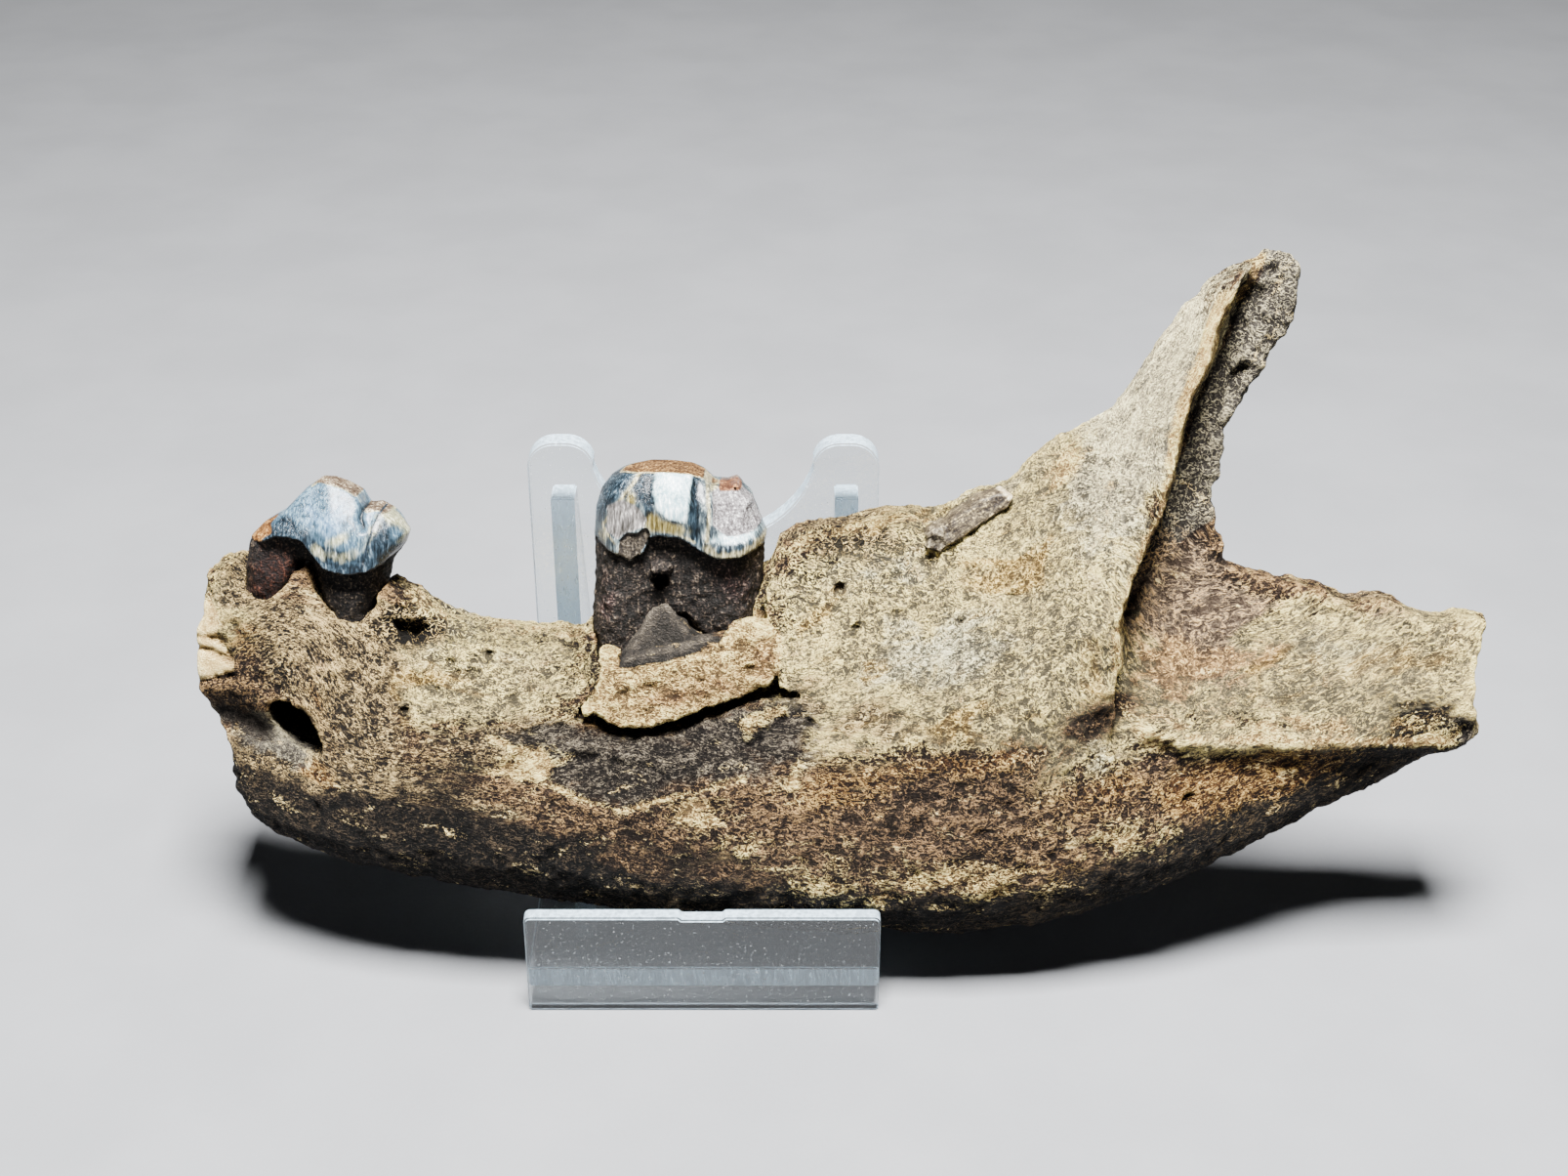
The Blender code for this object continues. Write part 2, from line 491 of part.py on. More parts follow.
def lean_on_stand(item):
    """Turn a piece from the jaw's flat plane to its place on the stand."""
    across = Vector((1, 0, 0))
    up = Vector((0, math.sin(JAW_LEAN), math.cos(JAW_LEAN)))
    out = Vector((0, -math.cos(JAW_LEAN), math.sin(JAW_LEAN)))
    turn = Matrix((across, up, out)).transposed().to_4x4()
    item.matrix_world = Matrix.Translation((JAW_X, JAW_Y, JAW_Z)) @ turn


def acrylic_plate(name, collection, outline, thickness, location, rotation):
    """Sheet of acrylic cut to an outline, its edges just broken."""
    plate = flat_plate(name, collection, outline, thickness)
    plate.location = location
    plate.rotation_euler = rotation
    bevel = plate.modifiers.new("broken edges", "BEVEL")
    bevel.width = BROKEN_EDGE
    bevel.segments = 1
    bevel.limit_method = "ANGLE"
    bevel.angle_limit = math.radians(50)
    return plate


def arc(centre_x, centre_y, radius, start, end, steps=6):
    """Points of an arc, its angles in degrees."""
    points = []
    for index in range(steps + 1):
        angle = math.radians(start + (end - start) * index / steps)
        points.append((centre_x + radius * math.cos(angle), centre_y + radius * math.sin(angle)))
    return points


def lip_outline():
    """Front lip with rounded top corners and a shallow notch in its top edge."""
    half = STAND_WIDTH / 2
    notch = LIP_NOTCH_WIDTH / 2
    low = LIP_HEIGHT - LIP_NOTCH_DEPTH
    corner = LIP_CORNER
    right = arc(half - corner, LIP_HEIGHT - corner, corner, 0, 90, 3)
    left = arc(corner - half, LIP_HEIGHT - corner, corner, 90, 180, 3)
    dip = [(notch, LIP_HEIGHT), (notch, low), (-notch, low), (-notch, LIP_HEIGHT)]
    return [(-half, 0), (half, 0)] + right + dip + left


def back_outline():
    """Back plate with a wide rounded yoke between two ears."""
    half = STAND_WIDTH / 2
    top = BACK_HEIGHT
    inner = YOKE_HALF_WIDTH + EAR_RADIUS * 0.8
    right = arc(half - EAR_RADIUS, top - EAR_RADIUS, EAR_RADIUS, 0, 90)
    shoulder = arc(inner, top - EAR_RADIUS, EAR_RADIUS, 90, 165, 5)
    yoke = []
    for index in range(1, 12):
        angle = math.radians(15 * index)
        yoke.append((YOKE_HALF_WIDTH * math.cos(angle), top - YOKE_DEPTH * math.sin(angle)))
    mirrored = [(-x, y) for x, y in reversed(right + shoulder)]
    return [(-half, 0), (half, 0)] + right + shoulder + yoke + mirrored


def leg_outline():
    """Prop behind the back plate: upright at the plate, sloping down to a foot."""
    start = BACK_FRONT_Y + SHEET + GAP
    return [(start, 0), (start + LEG_FOOT_DEPTH, 0), (start + LEG_FOOT_DEPTH, SHEET),
            (start + LEG_TOP_DEPTH, LEG_TOP), (start, LEG_TOP)]


def build_stand(collection, material):
    upright = (math.radians(90), 0, 0)
    on_edge = (math.radians(90), 0, math.radians(90))
    lip_middle = LIP_FRONT_Y + LIP_THICKNESS / 2
    shelf_start = LIP_FRONT_Y + LIP_THICKNESS + GAP
    shelf_end = BACK_FRONT_Y - GAP
    half = STAND_WIDTH / 2
    shelf = [(-half, shelf_start), (half, shelf_start), (half, shelf_end), (-half, shelf_end)]
    plates = [
        acrylic_plate("stand_lip", collection, lip_outline(), LIP_THICKNESS,
                      (STAND_X, lip_middle, 0), upright),
        acrylic_plate("stand_shelf", collection, shelf, SHEET,
                      (STAND_X, 0, SHELF_TOP - SHEET / 2), (0, 0, 0)),
        acrylic_plate("stand_back", collection, back_outline(), SHEET,
                      (STAND_X, BACK_FRONT_Y + SHEET / 2, 0), upright)]
    for side, name in ((-1, "stand_leg_left"), (1, "stand_leg_right")):
        plates.append(acrylic_plate(name, collection, leg_outline(), SHEET,
                                    (STAND_X + side * LEG_OFFSET, 0, 0), on_edge))
    for plate in plates:
        plate.data.materials.append(material)


def build_jaw(collection, cutters, bone_material, tooth_material):
    p2 = tooth("premolar_p2", collection, P2_OUTLINE, P2_CHEEK, P2_TONGUE, P2_RIM, P2_FACES)
    p4 = tooth("premolar_p4", collection, P4_OUTLINE, P4_CHEEK, P4_TONGUE, P4_RIM, P4_FACES)
    splinter = tooth("molar_splinter", collection, SPLINTER_OUTLINE, SPLINTER_CHEEK,
                     SPLINTER_TONGUE, SPLINTER_RIM, SPLINTER_FACES)
    bone = swelled_slab("jaw_bone", collection, BONE_OUTLINE, BONE_CELL, bone_cheek, bone_tongue,
                        bone_rim)
    thin_out(bone, BONE_FACES)
    tools = [socket(p2, cutters), socket(p4, cutters), socket(splinter, cutters),
             nerve_hole(cutters)]
    for tool in tools:
        cut(bone, tool)
    bone.data.materials.append(bone_material)
    for piece in (p2, p4, splinter):
        piece.data.materials.append(tooth_material)
    for piece in [bone, p2, p4, splinter] + tools:
        lean_on_stand(piece)
        piece.data.shade_smooth()


clear_scene()
parts = new_collection("fossil_cave_hyena_jaw")
cutter_parts = new_collection("cutters")
fossil_bone = new_material("fossil bone", (0.24, 0.155, 0.085), 0.75)
fossil_tooth = new_material("fossil enamel", (0.30, 0.33, 0.36), 0.25)
clear_acrylic = new_material("clear acrylic", (0.85, 0.9, 0.93), 0.05, 0.35)
build_jaw(parts, cutter_parts, fossil_bone, fossil_tooth)
build_stand(parts, clear_acrylic)
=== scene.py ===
import math

import bmesh
import bpy
import numpy as np
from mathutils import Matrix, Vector, noise


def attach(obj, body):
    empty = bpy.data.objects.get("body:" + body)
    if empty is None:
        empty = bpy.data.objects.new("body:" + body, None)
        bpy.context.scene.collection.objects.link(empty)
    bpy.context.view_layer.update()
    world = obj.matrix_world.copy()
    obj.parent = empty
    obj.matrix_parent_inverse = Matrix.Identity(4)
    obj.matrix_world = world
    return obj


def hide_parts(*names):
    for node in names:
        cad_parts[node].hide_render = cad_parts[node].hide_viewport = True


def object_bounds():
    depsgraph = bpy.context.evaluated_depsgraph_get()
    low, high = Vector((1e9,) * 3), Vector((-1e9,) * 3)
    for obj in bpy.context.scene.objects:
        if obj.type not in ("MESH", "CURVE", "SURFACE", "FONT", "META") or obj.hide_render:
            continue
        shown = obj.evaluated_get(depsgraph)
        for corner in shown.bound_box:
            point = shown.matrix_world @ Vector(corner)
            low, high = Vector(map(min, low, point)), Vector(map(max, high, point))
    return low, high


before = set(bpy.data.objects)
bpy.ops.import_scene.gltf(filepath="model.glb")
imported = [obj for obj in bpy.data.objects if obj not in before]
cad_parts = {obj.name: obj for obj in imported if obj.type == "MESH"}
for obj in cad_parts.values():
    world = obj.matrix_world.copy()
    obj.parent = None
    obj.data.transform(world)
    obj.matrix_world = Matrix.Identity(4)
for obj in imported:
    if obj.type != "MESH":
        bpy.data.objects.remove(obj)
cad_low, cad_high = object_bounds()

# THE JAW BONE
# The left half of a cave hyena's lower jaw: one mineralised bone, chocolate brown where the
# outer skin is whole and cream where it is spongy, broken at both ends and along its upright
# branch. It is carved here as a solid field in its own flat plane, in millimetres: u back
# along the jaw, v up from its lowest point, w out of the cheek side.

mm = 0.001
jaw_lean = math.radians(17)
jaw_place = Vector((-80.43, -19.9, 5.75)) * mm
bone_cell = 0.51

bone_outline = [
    (2.8, 46.2), (5.5, 46.5), (7.6, 45.8), (8.6, 44.5), (10, 43.8), (12.4, 44.2), (14.3, 46.6),
    (15.8, 47.3), (17.1, 44.6), (18.5, 42.2), (20.2, 41.2), (22.3, 41.2), (23.9, 42.6),
    (25.3, 45.3), (28, 43.7), (32.5, 41), (37.5, 40), (42, 39.5), (49, 39), (51, 42), (54, 44.5),
    (62, 45.5), (68, 45.5), (72, 47), (73.5, 50.8), (77, 52.2), (81, 52.7), (85.5, 53.9),
    (89, 54.2), (91.5, 53.9), (94.5, 54.9), (97, 56.5), (101, 57.3), (102.5, 58.8), (104.5, 61.2),
    (107, 63.2), (110, 64.3), (113.5, 66.6), (115.2, 69), (117, 72.2), (118.8, 75), (121.2, 78.3),
    (123.8, 81.2), (127, 83.5), (129, 84), (131, 85.5), (133, 85), (134.7, 83.5), (134.8, 79),
    (133.7, 76), (132.3, 73.5), (130.5, 70.5), (128, 66), (127, 64), (126.8, 59), (126.3, 56.5),
    (126.6, 51.5), (127.5, 50), (128, 47.5), (131, 46), (134.5, 45.5), (139.5, 44.2), (143.5, 43),
    (147.5, 43.2), (149.5, 42.8), (151.5, 41), (154, 40.5), (156.5, 41), (158.2, 41.2),
    (159.9, 40.8), (159.2, 38.7), (158.8, 36), (158.9, 33.5), (158.6, 31.3), (159.3, 28.5),
    (159.6, 26.3), (158.4, 24.5), (156.6, 23.7), (153.5, 22.4), (150, 20), (146.5, 18),
    (141, 15.5), (135, 12.4), (129, 9.6), (123, 6.5), (117, 4.5), (110.5, 2.5), (104.5, 1),
    (98.5, .5), (92.5, 0), (86.5, .5), (79.5, .5), (71, 1.5), (61, 2), (51, 3.5), (41, 5),
    (34, 6), (26.5, 7.5), (19, 8.8), (13.5, 10.4), (9.8, 11.9), (7.2, 13.4), (5.6, 15.3),
    (4.5, 17.6), (4.2, 20), (4.3, 22.5), (4.5, 24.5), (4, 26), (2.7, 27.4), (1.8, 28.8),
    (1.4, 31), (1.2, 33.6), (1.4, 39.3), (2.1, 41), (2.8, 43)]
bone_cheek = [
    (0, 44, -.5), (0, 30, .5), (2, 15, 0), (10, 41, 4.7), (12, 33, 4), (12.5, 20, 4), (10, 11, 3),
    (20, 40, 5), (22, 28, 7), (22, 16, 7.5), (20, 8, 6.5), (33, 39, 5.5), (34, 28, 8.5),
    (34, 16, 9), (34, 6, 8.5), (48, 38, 5.5), (47, 28, 9), (47, 16, 10), (47, 4, 9), (60, 44, 5),
    (60, 30, 8.5), (60, 18, 10.5), (60, 3, 9.5), (74, 50, 5), (74, 40, 9), (74, 28, 10.5),
    (74, 14, 11), (74, 2, 9.5), (90, 53.5, 5), (90, 42, 10), (90, 28, 11.5), (90, 14, 11),
    (90, 1, 9), (103, 59, 5), (103, 46, 9.5), (104, 32, 11.5), (105, 16, 10.5), (105, 2, 8.5),
    (113, 67, 3.5), (118, 76, 3), (131, 85, 3), (121, 69, 3.5), (117, 55, 5), (113, 45, 7),
    (129, 68, 1.5), (125, 55, .5), (120, 44, 1), (125, 37, 0), (135, 42, 1), (135, 34, 1),
    (148, 40, 2), (148, 33, 2), (159, 38, 3.5), (159, 30, 4), (118, 28, 6.5), (133, 25, 4),
    (145, 25, 3), (156, 25, 2.5), (115, 16, 9), (128, 16, 5.5), (140, 18, 2.6), (150, 20, 1.2),
    (125, 8, 6), (115, 4, 7)]
bone_tongue = [
    (0, 44, -13), (0, 30, -14.5), (2, 15, -14), (12, 42, -10), (12, 28, -12.5), (10, 11, -11.5),
    (22, 40, -7), (22, 26, -10), (20, 9, -9.5), (35, 38, -6.5), (35, 24, -9.5), (35, 6, -8.5),
    (48, 38, -7), (48, 24, -9.5), (48, 4, -8.5), (60, 45, -8), (60, 26, -9.5), (60, 3, -8.5),
    (74, 49, -7.5), (74, 30, -9.5), (74, 2, -8.5), (90, 54, -6.5), (90, 40, -9), (90, 26, -9),
    (90, 1, -8), (104, 60, -5), (104, 44, -7), (105, 28, -7.5), (105, 2, -7), (116, 72, -4),
    (131, 85, -2.5), (122, 62, -3.5), (118, 46, -5), (124, 36, -5.5), (120, 20, -6),
    (120, 6, -5.5), (135, 42, -4), (136, 30, -5), (135, 14, -4.5), (148, 40, -4), (148, 30, -4.5),
    (150, 20, -3.5), (159, 38, -3), (159, 28, -4)]
bone_rim = [
    (1, 43, 1.2), (.5, 30, 1), (2, 17, 1.5), (6, 10, 4), (20, 8, 8), (40, 5, 9), (60, 2, 9),
    (80, 0, 9), (100, 1, 8.5), (115, 4, 7.5), (128, 9, 6), (140, 15, 5), (150, 19, 4),
    (158, 23, 2.5), (160.5, 32, .8), (158, 41, 1), (145, 43, 1), (130, 46.5, 1), (126, 52, .8),
    (127, 62, .8), (131, 71, .8), (135, 79, 1), (133, 85, 1.5), (125, 82, 2.5), (117, 73, 4),
    (110, 64, 4), (100, 57, 4), (88, 55, 3.5), (78, 52, 3.5), (60, 45, 2), (45, 39, 4),
    (33, 41, 3), (26, 44, 1.2), (20, 40, .7), (14, 44, .7), (10, 42, .7), (6, 45, .9)]
crest = [(130, 86), (127.5, 84), (125.5, 80), (124, 76.5), (123.5, 73), (121.5, 69), (120.5, 65),
         (120, 61), (118.5, 55.5), (116.5, 51), (114.5, 46.5), (113.5, 41.5), (113.5, 36.5)]
crest_groove = [(128.5, 80), (127, 74), (124, 66), (122.5, 60), (120.5, 54), (118, 48), (116, 42)]
lower_ridge = [(113.5, 38), (115, 32), (118.5, 29), (123.5, 27), (133, 26.5), (145, 26), (156, 26)]
root_window = [(49.9, 48), (49.9, 35), (51.5, 30), (60, 31), (70, 35), (73, 39), (71.6, 43),
               (72, 49)]
flake = [
    (51.8, 38.7), (53.5, 38.9), (55, 38.7), (54, 37.6), (54, 36.3), (56.8, 36.6), (60.1, 37.2),
    (64.6, 38.6), (66.6, 40.2), (68, 41.6), (69.4, 42.6), (71.5, 42.2), (73.2, 41.4),
    (73.7, 39.1), (73.4, 35.6), (72.1, 34.2), (69.7, 33), (67, 32.2), (64.1, 31.3), (60.6, 29.7),
    (57, 28.9), (53.8, 28.9), (52.1, 29.8), (51.2, 31.2), (50, 30.5), (48.9, 30.7), (49.8, 31.8),
    (51, 33), (51.5, 35)]


def smooth_height(places):
    """Thin-plate surface through (u, v, w) places, as a function of arrays u and v."""
    data = np.array(places, dtype=float)
    spots = data[:, :2] / 10
    count = len(spots)

    def bend(squared):
        return 0.5 * squared * np.log(squared + 1e-12)

    squared = ((spots[:, None] - spots[None]) ** 2).sum(2)
    system = np.zeros((count + 3, count + 3))
    system[:count, :count] = bend(squared) + 0.02 * np.eye(count)
    system[:count, count] = 1
    system[:count, count + 1:] = spots
    system[count, :count] = 1
    system[count + 1:, :count] = spots.T
    weights = np.linalg.solve(system, np.concatenate([data[:, 2], np.zeros(3)]))

    def height(u, v):
        here = np.stack([u.ravel(), v.ravel()], 1) / 10
        squared = ((here[:, None] - spots[None]) ** 2).sum(2)
        flat = bend(squared) @ weights[:count] + weights[count] + here @ weights[count + 1:]
        return flat.reshape(u.shape)

    return height


def blended(places, u, v, spread):
    """Weighted mean of the places' values, each with a soft reach of `spread`."""
    data = np.array(places, dtype=float)
    flat_u, flat_v = u.ravel(), v.ravel()
    squared = (flat_u[:, None] - data[:, 0]) ** 2 + (flat_v[:, None] - data[:, 1]) ** 2
    squared -= squared.min(1, keepdims=True)
    weight = np.exp(-squared / (2 * spread ** 2))
    return ((weight * data[:, 2]).sum(1) / weight.sum(1)).reshape(u.shape)


def to_line(points, u, v, closed=False):
    """Distance to a line of points, the way along it (0 to 1), and the side (+1 is right)."""
    line = np.array(points + points[:1] if closed else points, dtype=float)
    best = np.full(u.shape, 1e9)
    along = np.zeros(u.shape)
    side = np.ones(u.shape)
    steps = len(line) - 1
    for index in range(steps):
        start, end = line[index], line[index + 1]
        run = end - start
        part = ((u - start[0]) * run[0] + (v - start[1]) * run[1]) / (run @ run)
        part = part.clip(0, 1)
        du, dv = u - start[0] - part * run[0], v - start[1] - part * run[1]
        distance = np.hypot(du, dv)
        nearer = distance < best
        best = np.where(nearer, distance, best)
        along = np.where(nearer, (index + part) / steps, along)
        side = np.where(nearer, np.where(run[0] * dv - run[1] * du > 0, -1, 1), side)
    return best, along, side


def depth_inside(outline, u, v):
    """Distance to a closed outline, positive inside it."""
    distance = to_line(outline, u, v, closed=True)[0]
    inside = np.zeros(u.shape, dtype=bool)
    for (au, av), (bu, bv) in zip(outline, outline[1:] + outline[:1]):
        if av != bv:
            crosses = (av > v) != (bv > v)
            inside ^= crosses & (u < au + (v - av) * (bu - au) / (bv - av))
    return np.where(inside, distance, -distance)


def ramp(value, low, high):
    part = ((value - low) / (high - low)).clip(0, 1)
    return part * part * (3 - 2 * part)


def near_line(points, u, v, width):
    """1 on a line of points, fading over about `width` millimetres to each side."""
    return np.exp(-(to_line(points, u, v)[0] / width) ** 2)


def within(outline, u, v, outside, inside):
    """1 within an outline and 0 beyond it, with an edge softened by these widths."""
    return ramp(depth_inside(outline, u, v), -outside, inside)


def rumple(places, scale, seed, octaves=3):
    """Soft irregular unevenness, about -1 to 1, with lumps about `scale` millimetres wide."""
    shift = Vector((seed * 7.3, seed * 3.1, seed * 5.7))
    values = [noise.fractal(Vector(place) / scale + shift, 1, 2, octaves) for place in places]
    return np.array(values)


def rumple_flat(u, v, scale, seed, octaves=3):
    """The same unevenness over the flat plane."""
    places = np.stack([u.ravel(), v.ravel(), np.full(u.size, seed)], 1)
    return rumple(places, scale, seed, octaves).reshape(u.shape)


def bulge(u, v, centre_u, centre_v, half_u, half_v, turn=0.0):
    """Soft oval mound, 1 at its centre, turned by `turn` degrees."""
    angle = math.radians(turn)
    du, dv = u - centre_u, v - centre_v
    along = du * math.cos(angle) + dv * math.sin(angle)
    across = dv * math.cos(angle) - du * math.sin(angle)
    return np.exp(-(along / half_u) ** 2 - (across / half_v) ** 2)


def body_field(u, v, w, front, back, depth, rim, square):
    """Signed distance, about in millimetres, to a plate swelled from `back` to `front`.

    Its rim draws in over the width `rim`. `square` is 2 for a round rim and more for a
    broken, angular one. The maps are over (u, v), and w is an array of levels.
    """
    middle = (front + back) / 2
    half = ((front - back) / 2).clip(0.6, None)
    inward = ((rim - depth) / rim).clip(0, None)[:, :, None]
    out = np.abs(w - middle[:, :, None]) / half[:, :, None]
    power = square[:, :, None]
    high = (inward ** power + out ** power) ** (1 / power) + 1e-6
    slope_in = (inward / high) ** (power - 1) / rim[:, :, None]
    slope_out = (out / high) ** (power - 1) / half[:, :, None]
    return (high - 1) / np.sqrt(slope_in ** 2 + slope_out ** 2 + 1e-6)


def skin(field, low, cell):
    """Mesh of the zero surface of a field on an even grid: corners in millimetres and quads."""
    solid = field < 0
    count = np.zeros(tuple(n - 1 for n in field.shape), dtype=np.int8)
    corners = [(i, j, k) for i in (0, 1) for j in (0, 1) for k in (0, 1)]

    def shifted(array, corner):
        i, j, k = corner
        x, y, z = array.shape
        return array[i:x - 1 + i, j:y - 1 + j, k:z - 1 + k]

    for corner in corners:
        count += shifted(solid, corner)
    cells = np.argwhere((count > 0) & (count < 8))
    total = np.zeros((len(cells), 3))
    hits = np.zeros(len(cells))
    for a in corners:
        for b in corners:
            if sum(b) == sum(a) + 1 and all(q >= p for p, q in zip(a, b)):
                start, end = np.array(a), np.array(b)
                at_a = field[tuple((cells + start).T)]
                at_b = field[tuple((cells + end).T)]
                crossed = (at_a < 0) != (at_b < 0)
                part = np.where(crossed, at_a / np.where(crossed, at_a - at_b, 1), 0)
                total += crossed[:, None] * (start + part[:, None] * (end - start))
                hits += crossed
    points = (cells + total / hits[:, None]) * cell + np.array(low)
    number = np.full(count.shape, -1, dtype=np.int64)
    number[tuple(cells.T)] = np.arange(len(cells))
    quads = []
    for axis in range(3):
        ahead = np.roll(solid, -1, axis)
        change = solid != ahead
        edges = [slice(1, -1)] * 3
        edges[axis] = slice(0, -1)
        places = np.argwhere(change[tuple(edges)]) + [0 if a == axis else 1 for a in range(3)]
        first, second = [np.eye(3, dtype=int)[(axis + step) % 3] for step in (1, 2)]
        ring = [places - first - second, places - second, places, places - first]
        quad = np.stack([number[tuple(place.T)] for place in ring], 1)
        outward = solid[tuple(places.T)]
        quad[~outward] = quad[~outward][:, ::-1]
        quads.append(quad)
    return points, np.concatenate(quads)


def to_stand(places):
    """From the jaw's flat plane, in millimetres, to its leaning place in metres."""
    u, v, w = np.asarray(places).T
    y = v * math.sin(jaw_lean) - w * math.cos(jaw_lean)
    z = v * math.cos(jaw_lean) + w * math.sin(jaw_lean)
    return np.stack([u, y, z], 1) * mm + np.array(jaw_place)


def new_piece(name, places, faces):
    """Smooth-shaded mesh object in the jaw's flat plane; settle() leans it on the stand."""
    mesh = bpy.data.meshes.new(name)
    mesh.from_pydata([tuple(place) for place in places], [], [tuple(face) for face in faces])
    mesh.validate()
    piece = bpy.data.objects.new(name, mesh)
    bpy.context.scene.collection.objects.link(piece)
    mesh.shade_smooth()
    return piece


def corners_of(piece):
    """Corner places and outward normals of a piece's mesh."""
    mesh = piece.data
    places = np.empty(len(mesh.vertices) * 3)
    mesh.vertices.foreach_get("co", places)
    normals = np.empty(len(mesh.vertices) * 3)
    mesh.vertex_normals.foreach_get("vector", normals)
    return places.reshape(-1, 3), normals.reshape(-1, 3)


def move_corners(piece, places):
    piece.data.vertices.foreach_set("co", np.asarray(places, dtype=float).ravel())
    piece.data.update()


def paint(piece, name, values):
    """Store one number a corner, or three, for the piece's material."""
    values = np.asarray(values, dtype=np.float32)
    kind = "FLOAT" if values.ndim == 1 else "FLOAT_VECTOR"
    layer = piece.data.attributes.new(name, kind, "POINT")
    layer.data.foreach_set("value" if values.ndim == 1 else "vector", values.ravel())


def settle(piece, node):
    """Lean the finished piece on the stand, in place of its CAD node."""
    places = corners_of(piece)[0]
    hair = 0.02 * mm
    move_corners(piece, to_stand(places).clip(np.array(cad_low) + hair, np.array(cad_high) - hair))
    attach(piece, "root")
    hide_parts(node)


def colour(text):
    """sRGB hex to the linear colour a shader takes."""
    parts = [int(text[at:at + 2], 16) / 255 for at in (0, 2, 4)]
    return [*(c / 12.92 if c < 0.04 else ((c + 0.055) / 1.055) ** 2.4 for c in parts), 1]


def fill(tree, node, sockets):
    """Set a node's sockets to links, hex colours or numbers."""
    for name, value in sockets.items():
        if isinstance(value, bpy.types.NodeSocket):
            tree.links.new(value, node.inputs[name])
        else:
            node.inputs[name].default_value = colour(value) if isinstance(value, str) else value


def add(tree, kind, sockets=None, **settings):
    """Add one shader node with its settings and its links."""
    node = tree.nodes.new("ShaderNode" + kind)
    for name, value in settings.items():
        setattr(node, name, value)
    fill(tree, node, sockets or {})
    return node


def maths(tree, operation, first, second=0.0):
    return add(tree, "Math", {0: first, 1: second}, operation=operation).outputs[0]


def summed(tree, total, *others):
    for other in others:
        total = maths(tree, "ADD", total, other)
    return total


def mixed(tree, share, first, second):
    return add(tree, "Mix", {0: share, 6: first, 7: second}, data_type="RGBA").outputs[2]


def painted(tree, name):
    """The number or vector a piece's corners carry under this name."""
    node = add(tree, "Attribute", attribute_name=name)
    return node.outputs["Vector" if name in ("place", "grain") else "Fac"]


def speckle(tree, place, size, detail=3, rough=0.55, stretch=(1, 1, 1), warp=0.0):
    """Cloudy noise over coordinates in millimetres, its lumps `size` millimetres wide."""
    scaled = add(tree, "Mapping", {"Vector": place, "Scale": [s / size for s in stretch]})
    sockets = {"Vector": scaled.outputs[0], "Scale": 1, "Detail": detail, "Roughness": rough,
               "Distortion": warp}
    return add(tree, "TexNoise", sockets).outputs[0]


def spread(tree, value, low, high, to_low=0.0, to_high=1.0):
    sockets = {0: value, 1: low, 2: high, 3: to_low, 4: to_high}
    return add(tree, "MapRange", sockets, interpolation_type="SMOOTHSTEP").outputs[0]


tone_stops = (0.28, 0.4, 0.5, 0.61, 0.75)


def toned(tree, tone, shades):
    """Colour of a tone from 0 to 1 through five shades, the lightest for the rare high tones."""
    node = add(tree, "ValToRGB", {0: tone})
    stops = node.color_ramp.elements
    for index, (at, shade) in enumerate(zip(tone_stops, shades.split())):
        stop = stops[index] if index < 2 else stops.new(at)
        stop.position = at
        stop.color = colour(shade)
    return node.outputs[0]


def layered(tree, base, layers, tone, breaker, soft, drift=None):
    """Colour layers over a base, each where the mask of its name is, with broken edges.

    Layers called ash or fawn break up by `drift`, so that their hues wander by themselves.
    """
    result = toned(tree, tone, base)
    for name, shades in layers:
        edge = drift if name in ("ash", "fawn") else breaker
        level = summed(tree, painted(tree, name), edge, -0.5)
        share = spread(tree, level, 0.5 - soft, 0.5 + soft)
        result = mixed(tree, share, result, toned(tree, tone, shades))
    return result


def new_material(name, look):
    """Node material whose shader and output are joined up; `look` adds the rest."""
    material = bpy.data.materials.new(name)
    material.use_nodes = True
    tree = material.node_tree
    tree.nodes.clear()
    shader = add(tree, "BsdfPrincipled")
    add(tree, "OutputMaterial", {"Surface": shader.outputs[0]})
    look(tree, shader)
    return material


def bumped(tree, height, depth_mm):
    return add(tree, "Bump", {"Height": height, "Distance": depth_mm * mm}).outputs[0]


def region(u, v, ovals=(), lines=(), patches=()):
    """Mask of soft ovals, lines and outlined patches; each entry ends with its strength."""
    total = np.zeros(u.shape)
    for *oval, strength in ovals:
        total += strength * bulge(u, v, *oval)
    for points, width, strength in lines:
        total = np.maximum(total, strength * near_line(points, u, v, width))
    for points, soft, strength in patches:
        total = np.maximum(total, strength * within(points, u, v, soft, soft))
    return total.clip(0, 1.5)


def hollowness(piece, rounds):
    """How far each corner lies below its smoothed surroundings, in millimetres."""
    places, normals = corners_of(piece)
    ends = np.empty(len(piece.data.edges) * 2, dtype=np.int32)
    piece.data.edges.foreach_get("vertices", ends)
    a, b = ends.reshape(-1, 2).T
    total = len(places)
    count = np.bincount(np.concatenate([a, b]), minlength=total)
    smooth = places.copy()
    for _ in range(rounds):
        for axis in range(3):
            level = smooth[:, axis]
            mean = (np.bincount(a, level[b], total) + np.bincount(b, level[a], total)) / count
            smooth[:, axis] = (level + mean) / 2
    return ((smooth - places) * normals).sum(1)


def tooth_field(shape, u, v, w):
    """Field of a tooth from its outline, heights and rim widths."""
    front = smooth_height(shape["root_cheek"])(u, v)
    back = smooth_height(shape["root_tongue"])(u, v)
    crown = within(shape["crown"], u, v, 0.18, 0.12)
    front = front * (1 - crown) + smooth_height(shape["crown_cheek"])(u, v) * crown
    back = back * (1 - crown) + smooth_height(shape["crown_tongue"])(u, v) * crown
    rim = blended(shape["rim"], u, v, 2.0)
    square = 2 + 3 * ramp(-rim, -1.8, -0.7)
    depth = depth_inside(shape["outline"], u, v)
    return front, back, depth, rim, square


